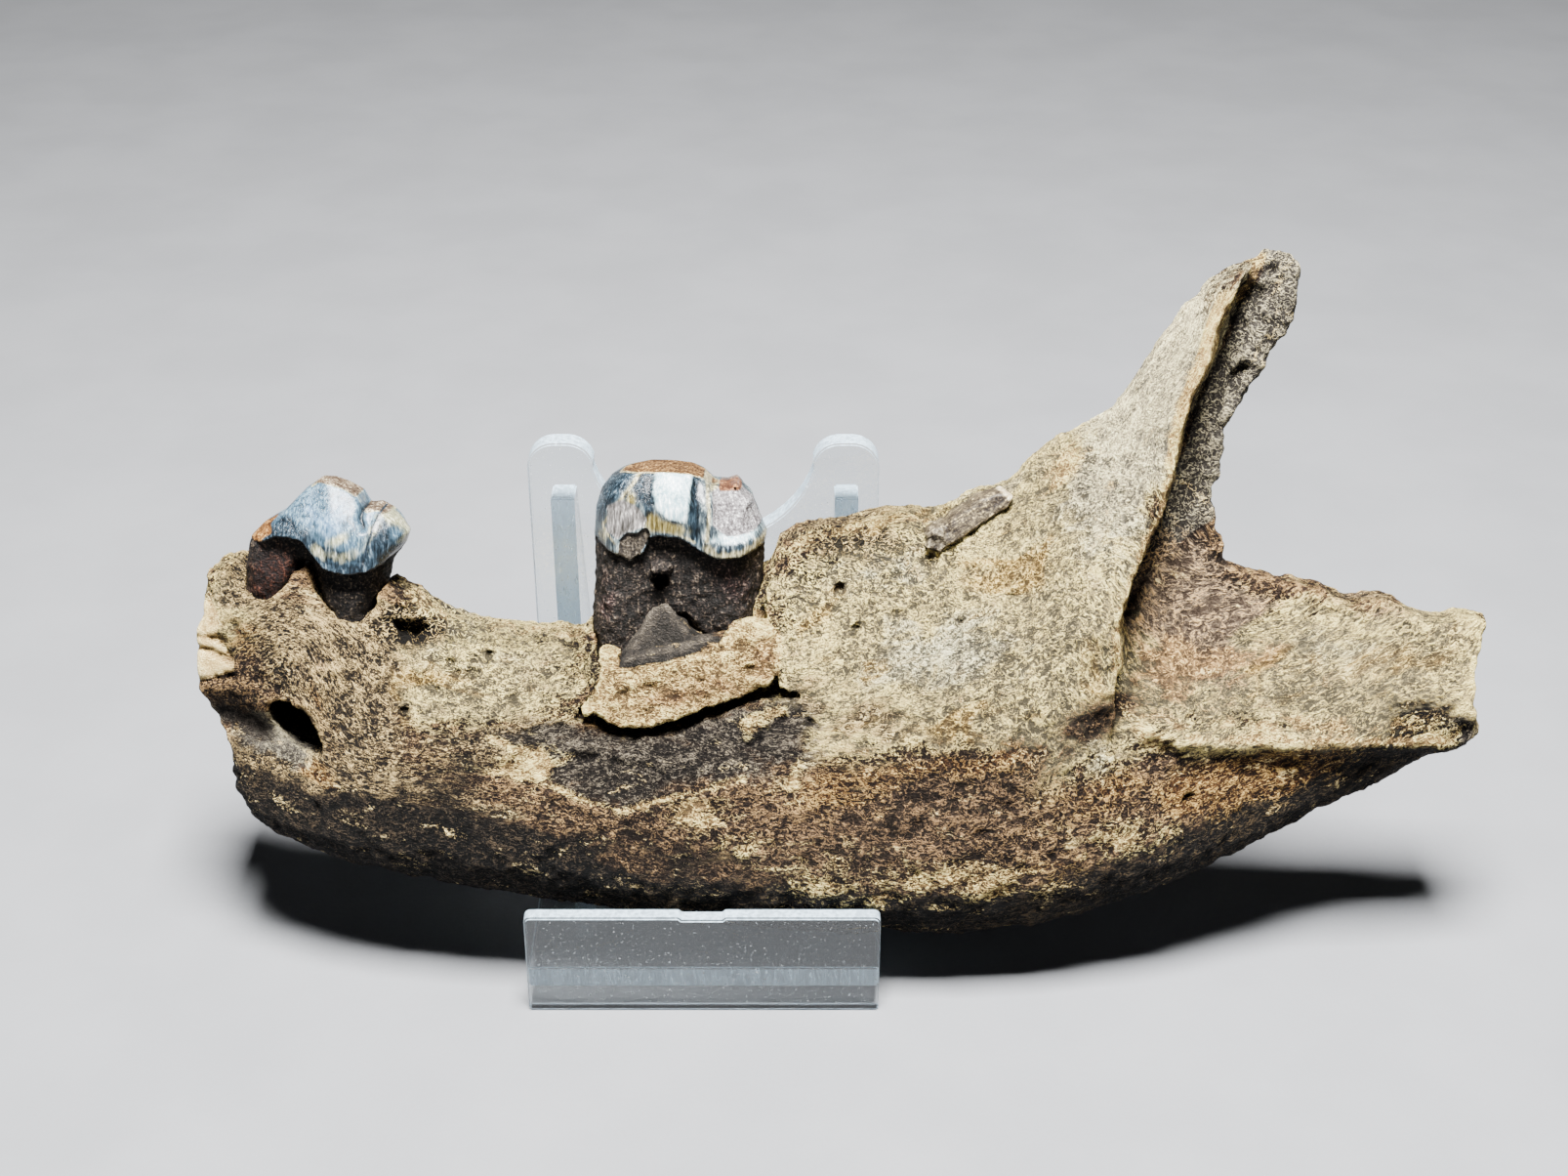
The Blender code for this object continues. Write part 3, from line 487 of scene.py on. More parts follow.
# Places on the bone that the eye goes to, all in the flat plane.
under_flake = [
    (50.4, 37), (50.4, 33), (48.6, 30.3), (50.8, 29.3), (52.3, 28.3), (55.7, 27.6), (60.5, 28.2),
    (65.2, 30), (69.4, 31.8), (73.5, 32.8), (75.8, 33.1), (73.4, 34), (72, 40), (66, 38),
    (58, 35.8)]
chip = [(68.8, 28.3), (68.4, 29.9), (69.7, 31.2), (72.3, 31.9), (74.2, 32.2), (74.4, 31),
        (71.7, 29.3), (69.3, 27.5)]
stripped = [
    (38.2, 27.8), (43.4, 25.3), (45.1, 22.2), (49.8, 20), (54.5, 18.7), (59.3, 20.4), (68.8, 23),
    (76, 25.5), (78, 30), (75, 33), (70, 32.5), (60.5, 29), (52, 29), (45, 29.5)]
pale_edge = stripped[:6] + [(64, 21.5), (68.8, 23)]
lens = [(47, 26.3), (52.3, 25.7), (60.5, 23.5), (59.3, 21.2), (54.5, 20.2), (49.8, 21.2),
        (47.2, 23.5)]
matrix = [(57.6, 47), (60.4, 47), (60.4, 44), (61.3, 42), (63.4, 40.2), (67, 40), (65, 37.4),
          (60, 35.5), (53, 35), (53.6, 37), (55.8, 40), (57.2, 43)]
crown_rim = [(74, 49.3), (77, 51.2), (81, 51.9), (85.5, 53.1), (89, 53.4), (91, 53.2)]
rim_ledge = [(79.5, 50.2), (82.5, 51), (85, 50.6), (88, 50.6), (90.3, 50.4), (91.2, 49.2)]
front_break = [(7.2, 13.4), (4.5, 17.6), (4.3, 22.5), (4, 26), (1.8, 28.8), (1.2, 33.6),
               (1.4, 39.3), (2.8, 46.2), (7.6, 45.8)]
torn = [(131, 85.8), (129.6, 80.5), (127, 75.2), (125.5, 70.5), (123.6, 65.5), (121.8, 59.5),
        (119.8, 53.6), (118, 49.5), (116.4, 45.5), (119, 46.5), (122.5, 50.5), (126, 53),
        (127.5, 60), (129, 66), (134, 73), (136, 79), (136, 85)]
crack = [(128.6, 71.5), (126.8, 68.7), (124.7, 64.2), (122.3, 59.3), (120.3, 55.5), (118.7, 52.2),
         (117, 48.3)]
trough = [(1.5, 28.3), (5, 28), (9, 26.6), (13, 24.6)]
front_patch = [(.9, 42.5), (3.6, 43), (4.9, 41.4), (4.4, 38.6), (5.4, 37.2), (6.7, 35.6),
               (6.4, 34.3), (3.5, 33.2), (1, 32.3)]
front_cracks = [[(1, 38.2), (2.8, 38), (4.6, 38.5)], [(1, 36.9), (3, 36.8), (5.6, 35.9)],
                [(1.4, 32.5), (4, 33.1), (6.7, 34)], [(4.6, 38.5), (5.8, 36.7), (6.4, 35.7)]]
pits = [(29.9, 33.9), (24.6, 32.7), (32.8, 31.9), (27.9, 30.6), (36.5, 30.4), (35.8, 40.4),
        (38.3, 37), (41, 33.6), (45, 36.5), (33.5, 36.2), (30.7, 24.6), (64.5, 40.2), (68, 39.9),
        (71.8, 38), (69.8, 36.4), (66.6, 36.8), (80.5, 45.6), (84, 44), (86.5, 47), (82.4, 41.2),
        (89.5, 43.2), (93, 46.5), (95, 42.5), (98, 48), (101, 45.5), (76.5, 41.5), (77.8, 46.8),
        (123.3, 19.3), (129, 26)]


def bone_heights(u, v):
    """Cheek and tongue heights over the plane, with the forms a hand would feel."""
    cheek = smooth_height(bone_cheek)(u, v)
    distance, along, side = to_line(crest, u, v)
    reach = np.where(side > 0, 6.5, 1.1)
    cheek += 5.0 * (0.75 + 0.25 * along) * ramp(1.25 - along, 0, 0.35) \
        * np.exp(-(distance / reach) ** 2)
    behind = np.where(side > 0, 0, np.exp(-(distance / 5) ** 2) - np.exp(-(distance / 1.2) ** 2))
    cheek -= 2.6 * ramp(along, 0.25, 0.55) * behind
    distance, along, side = to_line(lower_ridge, u, v)
    reach = np.where(side > 0, 2.4, 4.5)
    cheek += 2.8 * ramp(along, 0.1, 0.4) * np.exp(-(distance / reach) ** 2)
    for line, width, rise in ((crest_groove, 1.5, -2.2), (crack, 0.5, -2.4), (pale_edge, 0.8, 0.35)):
        cheek += rise * near_line(line, u, v, width)
    cheek -= 0.45 * within(stripped, u, v, 0.3, 0.5)
    cheek -= 0.7 * within(lens, u, v, 0.5, 1.2)
    cheek += 0.5 * within(chip, u, v, 0.3, 0.3)
    window = within(root_window, u, v, 0.4, 0.4)
    cheek = cheek * (1 - window) + np.minimum(cheek, 3.5) * window
    fill = within(matrix, u, v, 0.9, 0.7)
    cheek = np.maximum(cheek, fill * (5.9 + 0.25 * (43 - v).clip(0, 9)))
    below = within(under_flake, u, v, 0.12, 0.25)
    cheek = cheek * (1 - below) + np.minimum(cheek, 6.4) * below
    cheek -= 2.3 * bulge(u, v, 29.5, 39.8, 4.4, 1.5, -6) * (1 + 0.5 * rumple_flat(u, v, 1.3, 8.2))
    for line, width, rise in ((crown_rim, 1.3, 0.7), (rim_ledge, 0.7, -0.8), (trough, 2.7, -2.1)):
        cheek += rise * near_line(line, u, v, width)
    cheek -= 1.8 * bulge(u, v, 156.9, 26.9, 1.9, 1.6, 20)
    cheek += 0.9 * bulge(u, v, 107.2, 60.6, 3.4, 1.8, 50)
    for line in front_cracks:
        cheek -= 0.7 * near_line(line, u, v, 0.3)
    for index, (pit_u, pit_v) in enumerate(pits):
        size = 0.55 + 0.3 * math.sin(2.4 * index)
        cheek -= 1.4 * size * bulge(u, v, pit_u, pit_v, 0.95 * size, 0.5 * size, 25)
    cheek += 0.22 * rumple_flat(u, v, 5, 1.3)
    tongue = smooth_height(bone_tongue)(u, v) + 0.25 * rumple_flat(u, v, 7, 4.7)
    return cheek, tongue


p2_shape = {
    "outline": [
        (8.9, 51), (10.6, 52.6), (13.1, 54), (15.6, 56.5), (17.7, 58), (19.1, 57.9), (20.9, 57.2),
        (22.5, 56.2), (22.9, 55.2), (23.2, 54.6), (24.6, 54.8), (26.1, 54), (27.4, 52.8),
        (28.2, 51.4), (27.7, 50), (26.2, 48.2), (25.3, 45.1), (24, 42.9), (22.5, 38), (21, 34.5),
        (19.5, 35.5), (18, 41.5), (17, 45), (16.2, 47.8), (15.2, 47.8), (13.5, 44), (12.9, 40),
        (11.8, 36.4), (10, 36), (8.5, 38), (7.9, 43.4), (8, 47.1)],
    "crown": [
        (8, 51), (9, 53), (12.5, 55), (15, 58), (17.5, 60), (22, 60), (27, 57), (30, 53),
        (29, 51), (26.7, 49.2), (25.2, 48), (23.6, 47.4), (21.7, 47.1), (20.1, 47.3),
        (18.5, 47.8), (17.1, 49.6), (16, 51.2), (14.4, 51.5), (12.6, 51.5), (10.5, 50.7)],
    "root_cheek": [
        (9, 50, 2.8), (12, 47, 3.7), (15.5, 50, 3.4), (17, 47, 3.4), (21, 46.5, 4.3),
        (26, 47, 3.2), (11, 42, 2.6), (21.5, 42, 4), (11, 36, 1.6), (20.5, 36, 2)],
    "root_tongue": [(10, 50, -3), (18, 47, -3.6), (26, 47, -3.3), (11, 36, -2), (20.5, 36, -2)],
    "crown_cheek": [
        (9.5, 51.5, 3.2), (13, 52.2, 4.4), (16, 52.5, 5.2), (18.5, 49, 5.6), (21.7, 48, 5.9),
        (25, 49, 5.5), (28.3, 51.3, 3.8), (13.5, 54.5, 3), (16.5, 56, 3.2), (18.5, 57.8, 2.3),
        (20, 54, 4.7), (22.5, 56.8, 2.4), (21.7, 51, 5.8), (25, 52, 5), (25, 54.6, 3),
        (27.5, 53, 3)],
    "crown_tongue": [
        (10, 52, -4), (18, 49, -5), (25, 49, -5), (28, 51.5, -3.6), (17, 57.5, -2.4),
        (22, 56, -2.6), (25, 54, -3), (20, 52, -4.6)],
    "rim": [(18, 58, .7), (22, 56.5, .7), (10, 51, 1.6), (28, 51, 2.2), (25.5, 54.5, .7),
            (13, 54.5, 1.1), (8, 43, 2.2), (25, 44, 2.4), (16, 47.5, 1.6), (11, 36, 1.8),
            (20.5, 35, 1.8)]}
p4_shape = {
    "outline": [
        (50.9, 50), (50.7, 51.4), (51, 54.6), (51.7, 56.8), (52.9, 58.3), (54.7, 59.2),
        (57.5, 59.7), (60.6, 59.6), (62.7, 59.3), (64.1, 58.7), (65.3, 57.6), (66.9, 57.4),
        (68.2, 57.9), (69, 56.7), (70, 55.8), (71, 53.4), (71.8, 51.4), (71.4, 49.7), (71.3, 46),
        (70.8, 41), (69.5, 35), (68, 30.5), (66, 30), (64.4, 35), (62.9, 38.5), (61.4, 41),
        (59.2, 41), (58, 38.5), (57.2, 33), (56, 29.5), (53.5, 29), (51.2, 32.5), (50.3, 40),
        (50.8, 46)],
    "crown": [
        (49, 52), (50, 60), (56, 63), (66, 63), (74, 56), (74, 51), (71.6, 50.4), (70, 50),
        (68.5, 49.5), (65.9, 49.4), (64, 50.2), (62.6, 51.2), (61.2, 51.9), (59, 52.1),
        (57.7, 51.9), (57.2, 50.2), (55.5, 49), (53.9, 49.7), (52.7, 50), (51.4, 50.9)],
    "root_cheek": [
        (51, 50, 4.4), (54, 50, 5.6), (60, 50, 5.7), (68, 50, 6), (71.5, 49, 4.8), (53, 42, 5.4),
        (57, 42, 4.8), (60.2, 44, 4.9), (62, 42, 4.8), (67, 42, 5.8), (70.5, 42, 4.8),
        (54.5, 31, 3.6), (67, 31, 3.6)],
    "root_tongue": [(51, 50, -4.2), (60, 50, -5), (71, 49, -4.6), (54, 38, -4.4), (67, 38, -4.6),
                    (54.5, 31, -3), (67, 31, -3)],
    "crown_cheek": [
        (50.7, 52, 4.2), (53, 50.5, 6.2), (55.5, 50.5, 6.9), (60, 52.5, 7.3), (64, 50.5, 7.5),
        (68, 50, 7.8), (71.8, 51, 5.6), (51.3, 56, 4.6), (55, 55.5, 6.6), (60, 56, 7.2),
        (63, 56, 7), (66, 55.5, 6.4), (70, 54.5, 5.6), (54, 58.5, 4.4), (58.5, 59.5, 5),
        (62.5, 59.5, 5), (65.5, 58, 4.6), (68.5, 58, 4.4)],
    "crown_tongue": [
        (51, 52, -4.6), (60, 51, -6.6), (70, 51, -6), (54, 58, -4.4), (60, 59.5, -4),
        (65, 58.5, -4), (60, 55, -6.2), (69, 56, -4.6)],
    "rim": [
        (54.5, 59, 1.2), (60, 60, .6), (64, 59, .8), (51, 55, 3.4), (72, 52, 3), (68, 58, .8),
        (50.5, 42, 3.2), (71, 42, 3.2), (60, 42, 1.6), (55, 30, 2.4), (67, 31, 2.4),
        (58, 38, 2.6), (64, 37, 2.6)]}

low_corner = (-2.0, -2.0, -17.0)
steps = [int(round(span / bone_cell)) for span in (166, 90, 32)]
line_u, line_v, line_w = [low + bone_cell * np.arange(n) for low, n in zip(low_corner, steps)]
grid_u, grid_v = np.meshgrid(line_u, line_v, indexing="ij")
cheek, tongue = bone_heights(grid_u, grid_v)
rim = blended(bone_rim, grid_u, grid_v, 8.0)
square = 2 + 4 * ramp(-rim, -2.4, -1.0)
depth = depth_inside(bone_outline, grid_u, grid_v)
depth += 0.5 * ramp(-rim, -5, -1) * rumple_flat(grid_u, grid_v, 2.2, 9.1)
field = body_field(grid_u, grid_v, line_w, cheek, tongue, depth, rim, square)

# The flake is a thin curved slab over its own hollow, so a black gap opens along its lower edge.
flake_depth = depth_inside(flake, grid_u, grid_v) + 0.4 * rumple_flat(grid_u, grid_v, 1.3, 3.3)
flake_face = 9.2 - 0.06 * (grid_v - 34) + 0.3 * rumple_flat(grid_u, grid_v, 3, 6.1)
flat = np.ones(grid_u.shape)
flake_field = body_field(grid_u, grid_v, line_w, flake_face, flake_face - 1.7, flake_depth,
                         0.45 * flat, 4 * flat)
stem = depth_inside([(52, 37), (56, 33), (64, 35), (71, 38), (71, 41), (64, 40)], grid_u, grid_v)
stem_field = body_field(grid_u, grid_v, line_w, flake_face - 0.6, flake_face - 6, stem,
                        0.8 * flat, 3 * flat)
field = np.minimum(field, np.minimum(flake_field, stem_field))

# Nerve hole: an oval tunnel slanting inward, open to the trough on its lower left.
hole_turn = math.radians(-46)
tunnel = line_w[None, None, :] - 2
hole_u = grid_u[:, :, None] - 13.5 - 0.18 * tunnel
hole_v = grid_v[:, :, None] - 27.8 + 0.10 * tunnel
hole_long = (hole_u * math.cos(hole_turn) + hole_v * math.sin(hole_turn)) / 4.1
hole_wide = (hole_v * math.cos(hole_turn) - hole_u * math.sin(hole_turn)) / 2.2
hole = (np.hypot(hole_long, hole_wide) - 1) * 2.3
floor_of_hole = -7 - line_w[None, None, :]
field = np.maximum(field, -np.maximum(hole, floor_of_hole))

# Sockets, a hair wider than the roots that stand in them.
for shape in (p2_shape, p4_shape):
    ends_u, ends_v = zip(*shape["outline"])
    part_u = slice(*np.searchsorted(line_u, (min(ends_u) - 1.5, max(ends_u) + 1.5)))
    part_v = slice(*np.searchsorted(line_v, (min(ends_v) - 1.5, max(ends_v) + 1.5)))
    block_u, block_v = grid_u[part_u, part_v], grid_v[part_u, part_v]
    front, back, inside, round_width, corner = tooth_field(shape, block_u, block_v, line_w)
    root = body_field(block_u, block_v, line_w, front, back, inside, round_width, corner)
    field[part_u, part_v] = np.maximum(field[part_u, part_v], 0.15 - root)

places, quads = skin(field, low_corner, bone_cell)
bone = new_piece("bone_of_jaw", places, quads)
places, normals = corners_of(bone)
u, v, w = places.T
cheek_side = ramp(w, -3.5, -1.5)
spongy = region(u, v, ovals=[
    (34, 36, 13, 6, -6, .9), (29.5, 41, 5, 2.5, -6, 1), (86, 47, 14, 7, 15, .8),
    (110, 61, 5, 5, 40, .8), (62, 35, 12, 5, 12, .7), (5, 43, 4, 4, 0, .4)]).clip(0, 1)
broken = region(u, v, patches=[(torn, .8, 1)], ovals=[
    (157, 27, 3, 2.5, 20, 1), (29.5, 40.5, 4.5, 2, -6, .9), (93, 52, 4, 2, 30, .6),
    (84, 50.5, 7, 2, 8, .6), (76, 46, 2.5, 5, 0, .6), (59, 43, 1.5, 4, 0, .6)],
    lines=[(front_break, 1.2, .5)]).clip(0, 1)
smooth_zone = region(u, v, patches=[(front_patch, .4, 1), (matrix, .5, 1)], ovals=[
    (8, 27, 6, 2.8, -12, 1), (140, 36, 20, 8, -8, .5), (119, 70, 16, 5, 62, .5)]).clip(0, 1)
knobbly = region(u, v, ovals=[
    (83, 48.5, 8, 3.5, 8, 1), (92, 51.5, 3, 2.5, 30, 1), (30, 40, 5, 2, -6, .8)])
pitting = []
for place in places:
    distances, centres = noise.voronoi(Vector((place[0] * 0.7, place[1], place[2])) / 2)
    pitting.append(0.36 + 0.5 * noise.noise(centres[0] * 7.3) - distances[0])
pitting = ramp(np.array(pitting), 0, 0.16) * spongy
relief = 0.3 * rumple(places, 3.4, 2) + 0.27 * rumple(places, 1.4, 5, 4) * (1 + 0.6 * broken)
relief = relief * (1 - 0.75 * smooth_zone) - 0.75 * pitting
relief += 0.55 * knobbly * rumple(places, 2.4, 11)
move_corners(bone, places + normals * relief[:, None])

# The grain runs along the level lines of this map: along the body, down the front, up the branch.
flow = [
    (5, 12, 0), (30, 7, 0), (60, 2.5, 0), (90, .5, 0), (115, 4.5, 0), (140, 15, 0), (158, 23, 0),
    (4, 20, 10), (30, 17, 10), (60, 13, 10), (90, 12, 10.5), (115, 15, 10.5), (140, 21, 7),
    (158, 26, 4), (3, 27, 17), (3, 33, 24), (3, 40, 32), (8, 43, 36), (14, 38, 25), (19, 31, 25),
    (23.5, 25, 22), (20, 38, 31), (25, 32.5, 30), (32, 29, 28), (30, 23, 19), (50, 26, 22),
    (32, 39, 39), (45, 38, 38), (42, 32, 32), (55, 31, 28), (60, 44, 44), (72, 46, 46),
    (75, 25, 21), (100, 25, 20), (76, 33, 32), (92, 38, 32), (104, 45, 32), (112, 54, 32),
    (118, 64, 32), (125, 78, 32), (76, 42, 40), (90, 48, 40), (101, 54, 40), (110, 60, 40),
    (116, 69, 40), (122, 79, 40), (76, 50.5, 48), (88, 55, 48), (98, 58, 48), (106, 64, 48),
    (113, 69, 48), (119, 78, 48), (85, 30, 26), (98, 34, 26), (107, 41, 27), (112, 49, 29),
    (115, 26, 18), (130, 26, 13), (150, 29, 8), (118, 33, 24), (126, 41, 25), (134, 45, 26),
    (124, 30, 20), (134, 36, 20), (145, 42, 20), (147, 35, 14), (156, 40, 14), (124, 50, 31)]
paint(bone, "place", places)
coarse = 2.0
relaxing_rounds = 4000
coarse_u, coarse_v = np.meshgrid(
    np.arange(-2, 166, coarse), np.arange(-2, 90, coarse), indexing="ij")
slope_u, slope_v = np.gradient(smooth_height(flow)(coarse_u, coarse_v), coarse)
steep = np.hypot(slope_u, slope_v) + 0.05
step_u, step_v = coarse * slope_v / steep, -coarse * slope_u / steep
step_u, step_v = (step_u[1:] + step_u[:-1]) / 2, (step_v[:, 1:] + step_v[:, :-1]) / 2
along = coarse_u + 0.25 * coarse_v
neighbours = ((np.s_[1:], np.s_[:-1], step_u), (np.s_[:, 1:], np.s_[:, :-1], step_v))
for _ in range(relaxing_rounds):
    total, count = np.zeros(along.shape), np.zeros(along.shape)
    for ahead, behind, step in neighbours:
        total[ahead] += along[behind] + step
        total[behind] += along[ahead] - step
        count[ahead] += 1
        count[behind] += 1
    along = total / count
cell_u, cell_v = ((u + 2) / coarse).astype(int), ((v + 2) / coarse).astype(int)
part_u, part_v = (u + 2) / coarse - cell_u, (v + 2) / coarse - cell_v
near = along[cell_u, cell_v] * (1 - part_v) + along[cell_u, cell_v + 1] * part_v
far = along[cell_u + 1, cell_v] * (1 - part_v) + along[cell_u + 1, cell_v + 1] * part_v
along = near * (1 - part_u) + far * part_u
paint(bone, "grain", np.stack([along, smooth_height(flow)(u, v), w], 1))
# Painted shade and light: corners sunk below their smoothed surroundings get a darker tone, raised
# ones a lighter one.
hollow_shade = hollowness(bone, 12)
paint(bone, "hollow_shade", (0.5 + hollow_shade * 1.2).clip(0, 1))
paint(bone, "rough", (broken + 0.35 * spongy + 0.3).clip(0, 1))
paint(bone, "spongy", spongy)
on_flake = within(flake, u, v, 0.3, 0.3)
paint(bone, "calm", 0.65 * smooth_zone * (1 - on_flake))

# Colour layers over the brown, from the lowest up: where each lies, and its shades from dark
# to light. The tongue side, which the photograph hides, carries the broad ones on.
bottom_edge = [(6, 15), (20, 9), (41, 5.5), (61, 2.5), (86, 1), (105, 1.5), (123, 7), (141, 16),
               (153, 22.5)]
bone_layers = [
    ("buff", dict(ovals=[
        (6, 42, 6, 6, 0, .9), (35, 36, 15, 7, -6, 1.4), (90, 43, 19, 12, 18, 1.5),
        (107, 44, 9, 18, 0, 1.4), (140, 34, 20, 8, -6, 1.5), (155, 34, 8, 8, 0, 1.3),
        (118, 36, 8, 9, 0, .55), (82, 31, 9, 6, 0, .5), (106, 30, 10, 6, 0, .4),
        # The line along the lower ridge is partly painted highlight, lighter where the ridge's top
        # catches the light.
        (112, 62, 7, 5, 0, 1.2), (95, 31, 10, 4, 10, .35)], lines=[(lower_ridge[3:], 2.5, 1.2)]),
     "443e2f 6a614a 99885e d4bb70 fbe692"),
    ("ash", dict(ovals=[
        (95, 39, 15, 6, 15, .5), (84, 46, 8, 5, 10, .46), (145, 36, 12, 4, -8, .44),
        (33, 36, 11, 5, -6, .45), (112, 50, 5, 10, 0, .44), (119, 70, 12, 5, 62, .5)]),
     "403d35 605b4a 8a8267 bfb588 f3ebbe"),
    ("fawn", dict(ovals=[
        (80, 42, 6, 5, 0, .55), (100, 49, 9, 5, 20, .48), (150, 34, 8, 5, 0, .5),
        (30, 34, 12, 5, 0, .5), (92, 30, 12, 4, 0, .6), (131, 34, 8, 4, 0, .5),
        (84, 53, 8, 2, 8, .5), (111, 40, 5, 8, 0, .42), (6, 41, 5, 5, 0, .4)]),
     "44361f 6c5632 987c44 d2ae5c fbdd8a"),
    ("umber", dict(ovals=[
        (84, 15, 17, 7, 4, .8), (112, 30.5, 8, 3, 15, .8), (97, 24, 12, 4.5, 4, .6),
        (122, 12, 18, 6, 22, .5), (66, 10, 20, 5, 0, .4), (120, 47, 4, 6, 0, .5)]),
     "150e08 231c14 352921 53412f 91714c"),
    ("dun", dict(ovals=[
        (24, 20, 20, 5, -8, .75), (22, 31, 6, 9, -10, 1), (16.5, 37.5, 7, 5, 0, 1.5),
        (8, 45, 5, 4, 0, .7), (82, 52, 10, 3.2, 8, .75), (84, 31, 8, 4.5, 0, .5),
        (148, 43, 10, 2, -4, .6), (9, 22, 6, 4, 0, .8), (40, 27, 9, 3, 10, .9),
        (29.5, 39.8, 4, 1.4, -6, 1), (76, 34, 2.5, 6, 0, .5), (28, 41.5, 4, 2, -8, .6)]),
     "110e0a 221c15 3e3528 786446 d4b678"),
    # Partly painted shade: near-black along the jaw's bottom edge, darkest towards the bottom, over
    # a real dark stain.
    ("bistre_and_underside_shade", dict(lines=[(bottom_edge, 7.5, 1.5)], ovals=[
        (60, 13, 16, 4, 0, .5), (134, 12.5, 15, 4, 26, 1.3)]),
     "030202 060403 0f0b07 1f1a12 4d3e29"),
    # Partly painted shade: the lower front of the body, which faces down, is near-black, over a dark
    # olive stain.
    ("olive_and_underside_shade", dict(ovals=[
        (24, 13.5, 18, 5.4, -8, 1.5), (42, 11, 13, 5, -6, .9), (30, 11.5, 16, 4.6, -6, 1.4),
        (34, 23, 8, 2.5, 20, .45)]),
     "020201 050403 0a0806 1a140e 45392a"),
    ("rust", dict(ovals=[
        (95.6, 25.3, 8, 3, 4, .62), (80, 22, 8, 6, 0, .5), (30.5, 25, 3, 1.8, 0, .4),
        (15.5, 22.6, 3, 1.3, -25, 1.2), (8, 38, 3, 3, 0, .6), (123, 19, 2.8, 1.6, 0, .6),
        (104, 11, 10, 3, 10, .5), (77, 43, 2, 2, 0, .4), (132, 21.5, 11, 3.4, 14, 1.2),
        (56, 24.8, 5, 1.4, -12, .6), (17.5, 30, 1.5, 6, 15, .45), (112, 21, 9, 3.5, 12, .55)]),
     "150b05 2d1c0e 4c321c 7a592f bd9a59"),
    ("grey", dict(ovals=[
        (119, 70, 17, 6, 62, 1), (112, 60, 8, 4, 50, .55), (98, 56, 6, 2, 25, .4),
        (95.3, 37.3, 3, 1.6, 20, .55), (100.3, 40, 2.4, 1.3, 20, .55),
        (111.8, 25.5, 2, 2.4, 0, .6)]),
     "423e35 666051 968b6f d0c08f faf0b8"),
    ("torn_bone", dict(patches=[(torn, .8, 1.5)], lines=[(trough[2:], 2.4, 1.1)]),
     "2e2a25 413c35 56514a 756d5a b5a986"),
    ("mauve", dict(ovals=[
        (122, 43, 7, 6.5, -30, 1.4), (131, 41, 5, 2, 30, .7), (146, 41.5, 5, 1.6, -4, .6),
        (17, 36, 4, 2.5, 0, .3), (127, 34, 4, 5, 0, .5)]),
     "362b22 4e4135 695a49 8e785d d0a770"),
    ("ochre", dict(ovals=[(122, 35, 6, 5, 0, .75), (132, 36, 6, 2.5, 15, .4)]),
     "453522 65503a 86673f b58c57 ecc580"),
    ("slate", dict(ovals=[
        (75, 26, 4, 3, 0, .5), (157.2, 27, 1.5, 1.8, 0, 1.5)], lines=[(trough[:3], 1.8, .8)],
        patches=[(stripped, 2.8, .85)]),
     "0f0c09 1d1915 2b2521 423c34 7d7260"),
    ("infill", dict(patches=[(matrix, .5, 1.3)]),
     "0f0e0c 191714 262320 36312b 5a5247"),
    ("straw", dict(ovals=[
        (42.3, 24.4, 4.5, 2.6, 15, .75), (63.3, 18.8, 3.4, 2.4, 0, .75), (44.4, 24, .9, 2, 0, .7),
        (107.2, 60, 4, 1.6, 50, .9), (98, 10.5, 9, 3.2, 4, .6), (116, 15.5, 6, 3, 12, .5),
        # The oval at u 138 and the line on the lower ridge are partly painted highlight along the
        # ridge's lit top.
        (82, 10, 9, 4, 0, .4), (138, 28, 16, 1.4, -2, .7), (70, 15, 5, 2, 0, .45),
        (75, 23, .9, 2.2, -10, .75), (118, 27.5, 4, 1.6, -35, .7)],
        lines=[(pale_edge, .55, .65), (crest[2:8], 1.5, 1.1), (crest[7:], .9, .9),
               ([(130.4, 85.8), (128.8, 82), (127.8, 79.6)], .6, .9), (lower_ridge[3:], 1.0, .8),
               (crown_rim, .6, .7), (bone_outline[14:19], .6, .5)],
        patches=[(flake, .3, .95), (chip, .8, .6)]),
     "4a3b26 715939 a28251 dcba70 fdea98"),
    ("bran", dict(ovals=[(62, 33.4, 8, 1.9, 13, .62), (71.3, 37.5, 1.6, 2.6, 0, .6)]),
     "33251a 573f29 7f603b b78d55 ecc987"),
    ("tan", dict(patches=[(front_patch, .4, 1)]),
     "4f3d28 7d6440 ad8f5c dfc07c fde9a8")]
for name, where, _ in bone_layers:
    mask = region(u, v, **where)
    if name in ("slate", "infill", "straw", "bran", "tan", "rust"):
        mask = mask * cheek_side
    paint(bone, name, mask)


def between(tree, share, first, second):
    return add(tree, "Mix", {0: share, 2: first, 3: second}).outputs[0]


def centred(tree, noise_value, amount):
    """Noise moved to swing about nought, times an amount."""
    return maths(tree, "MULTIPLY", maths(tree, "SUBTRACT", noise_value, 0.5), amount)


def ridges(tree, noise_value):
    """Thin curling ridges, 1 at their tops, where a noise crosses its middle."""
    away = maths(tree, "ABSOLUTE", centred(tree, noise_value, 1 / 0.07))
    return maths(tree, "SUBTRACT", 1, maths(tree, "MINIMUM", away, 1))


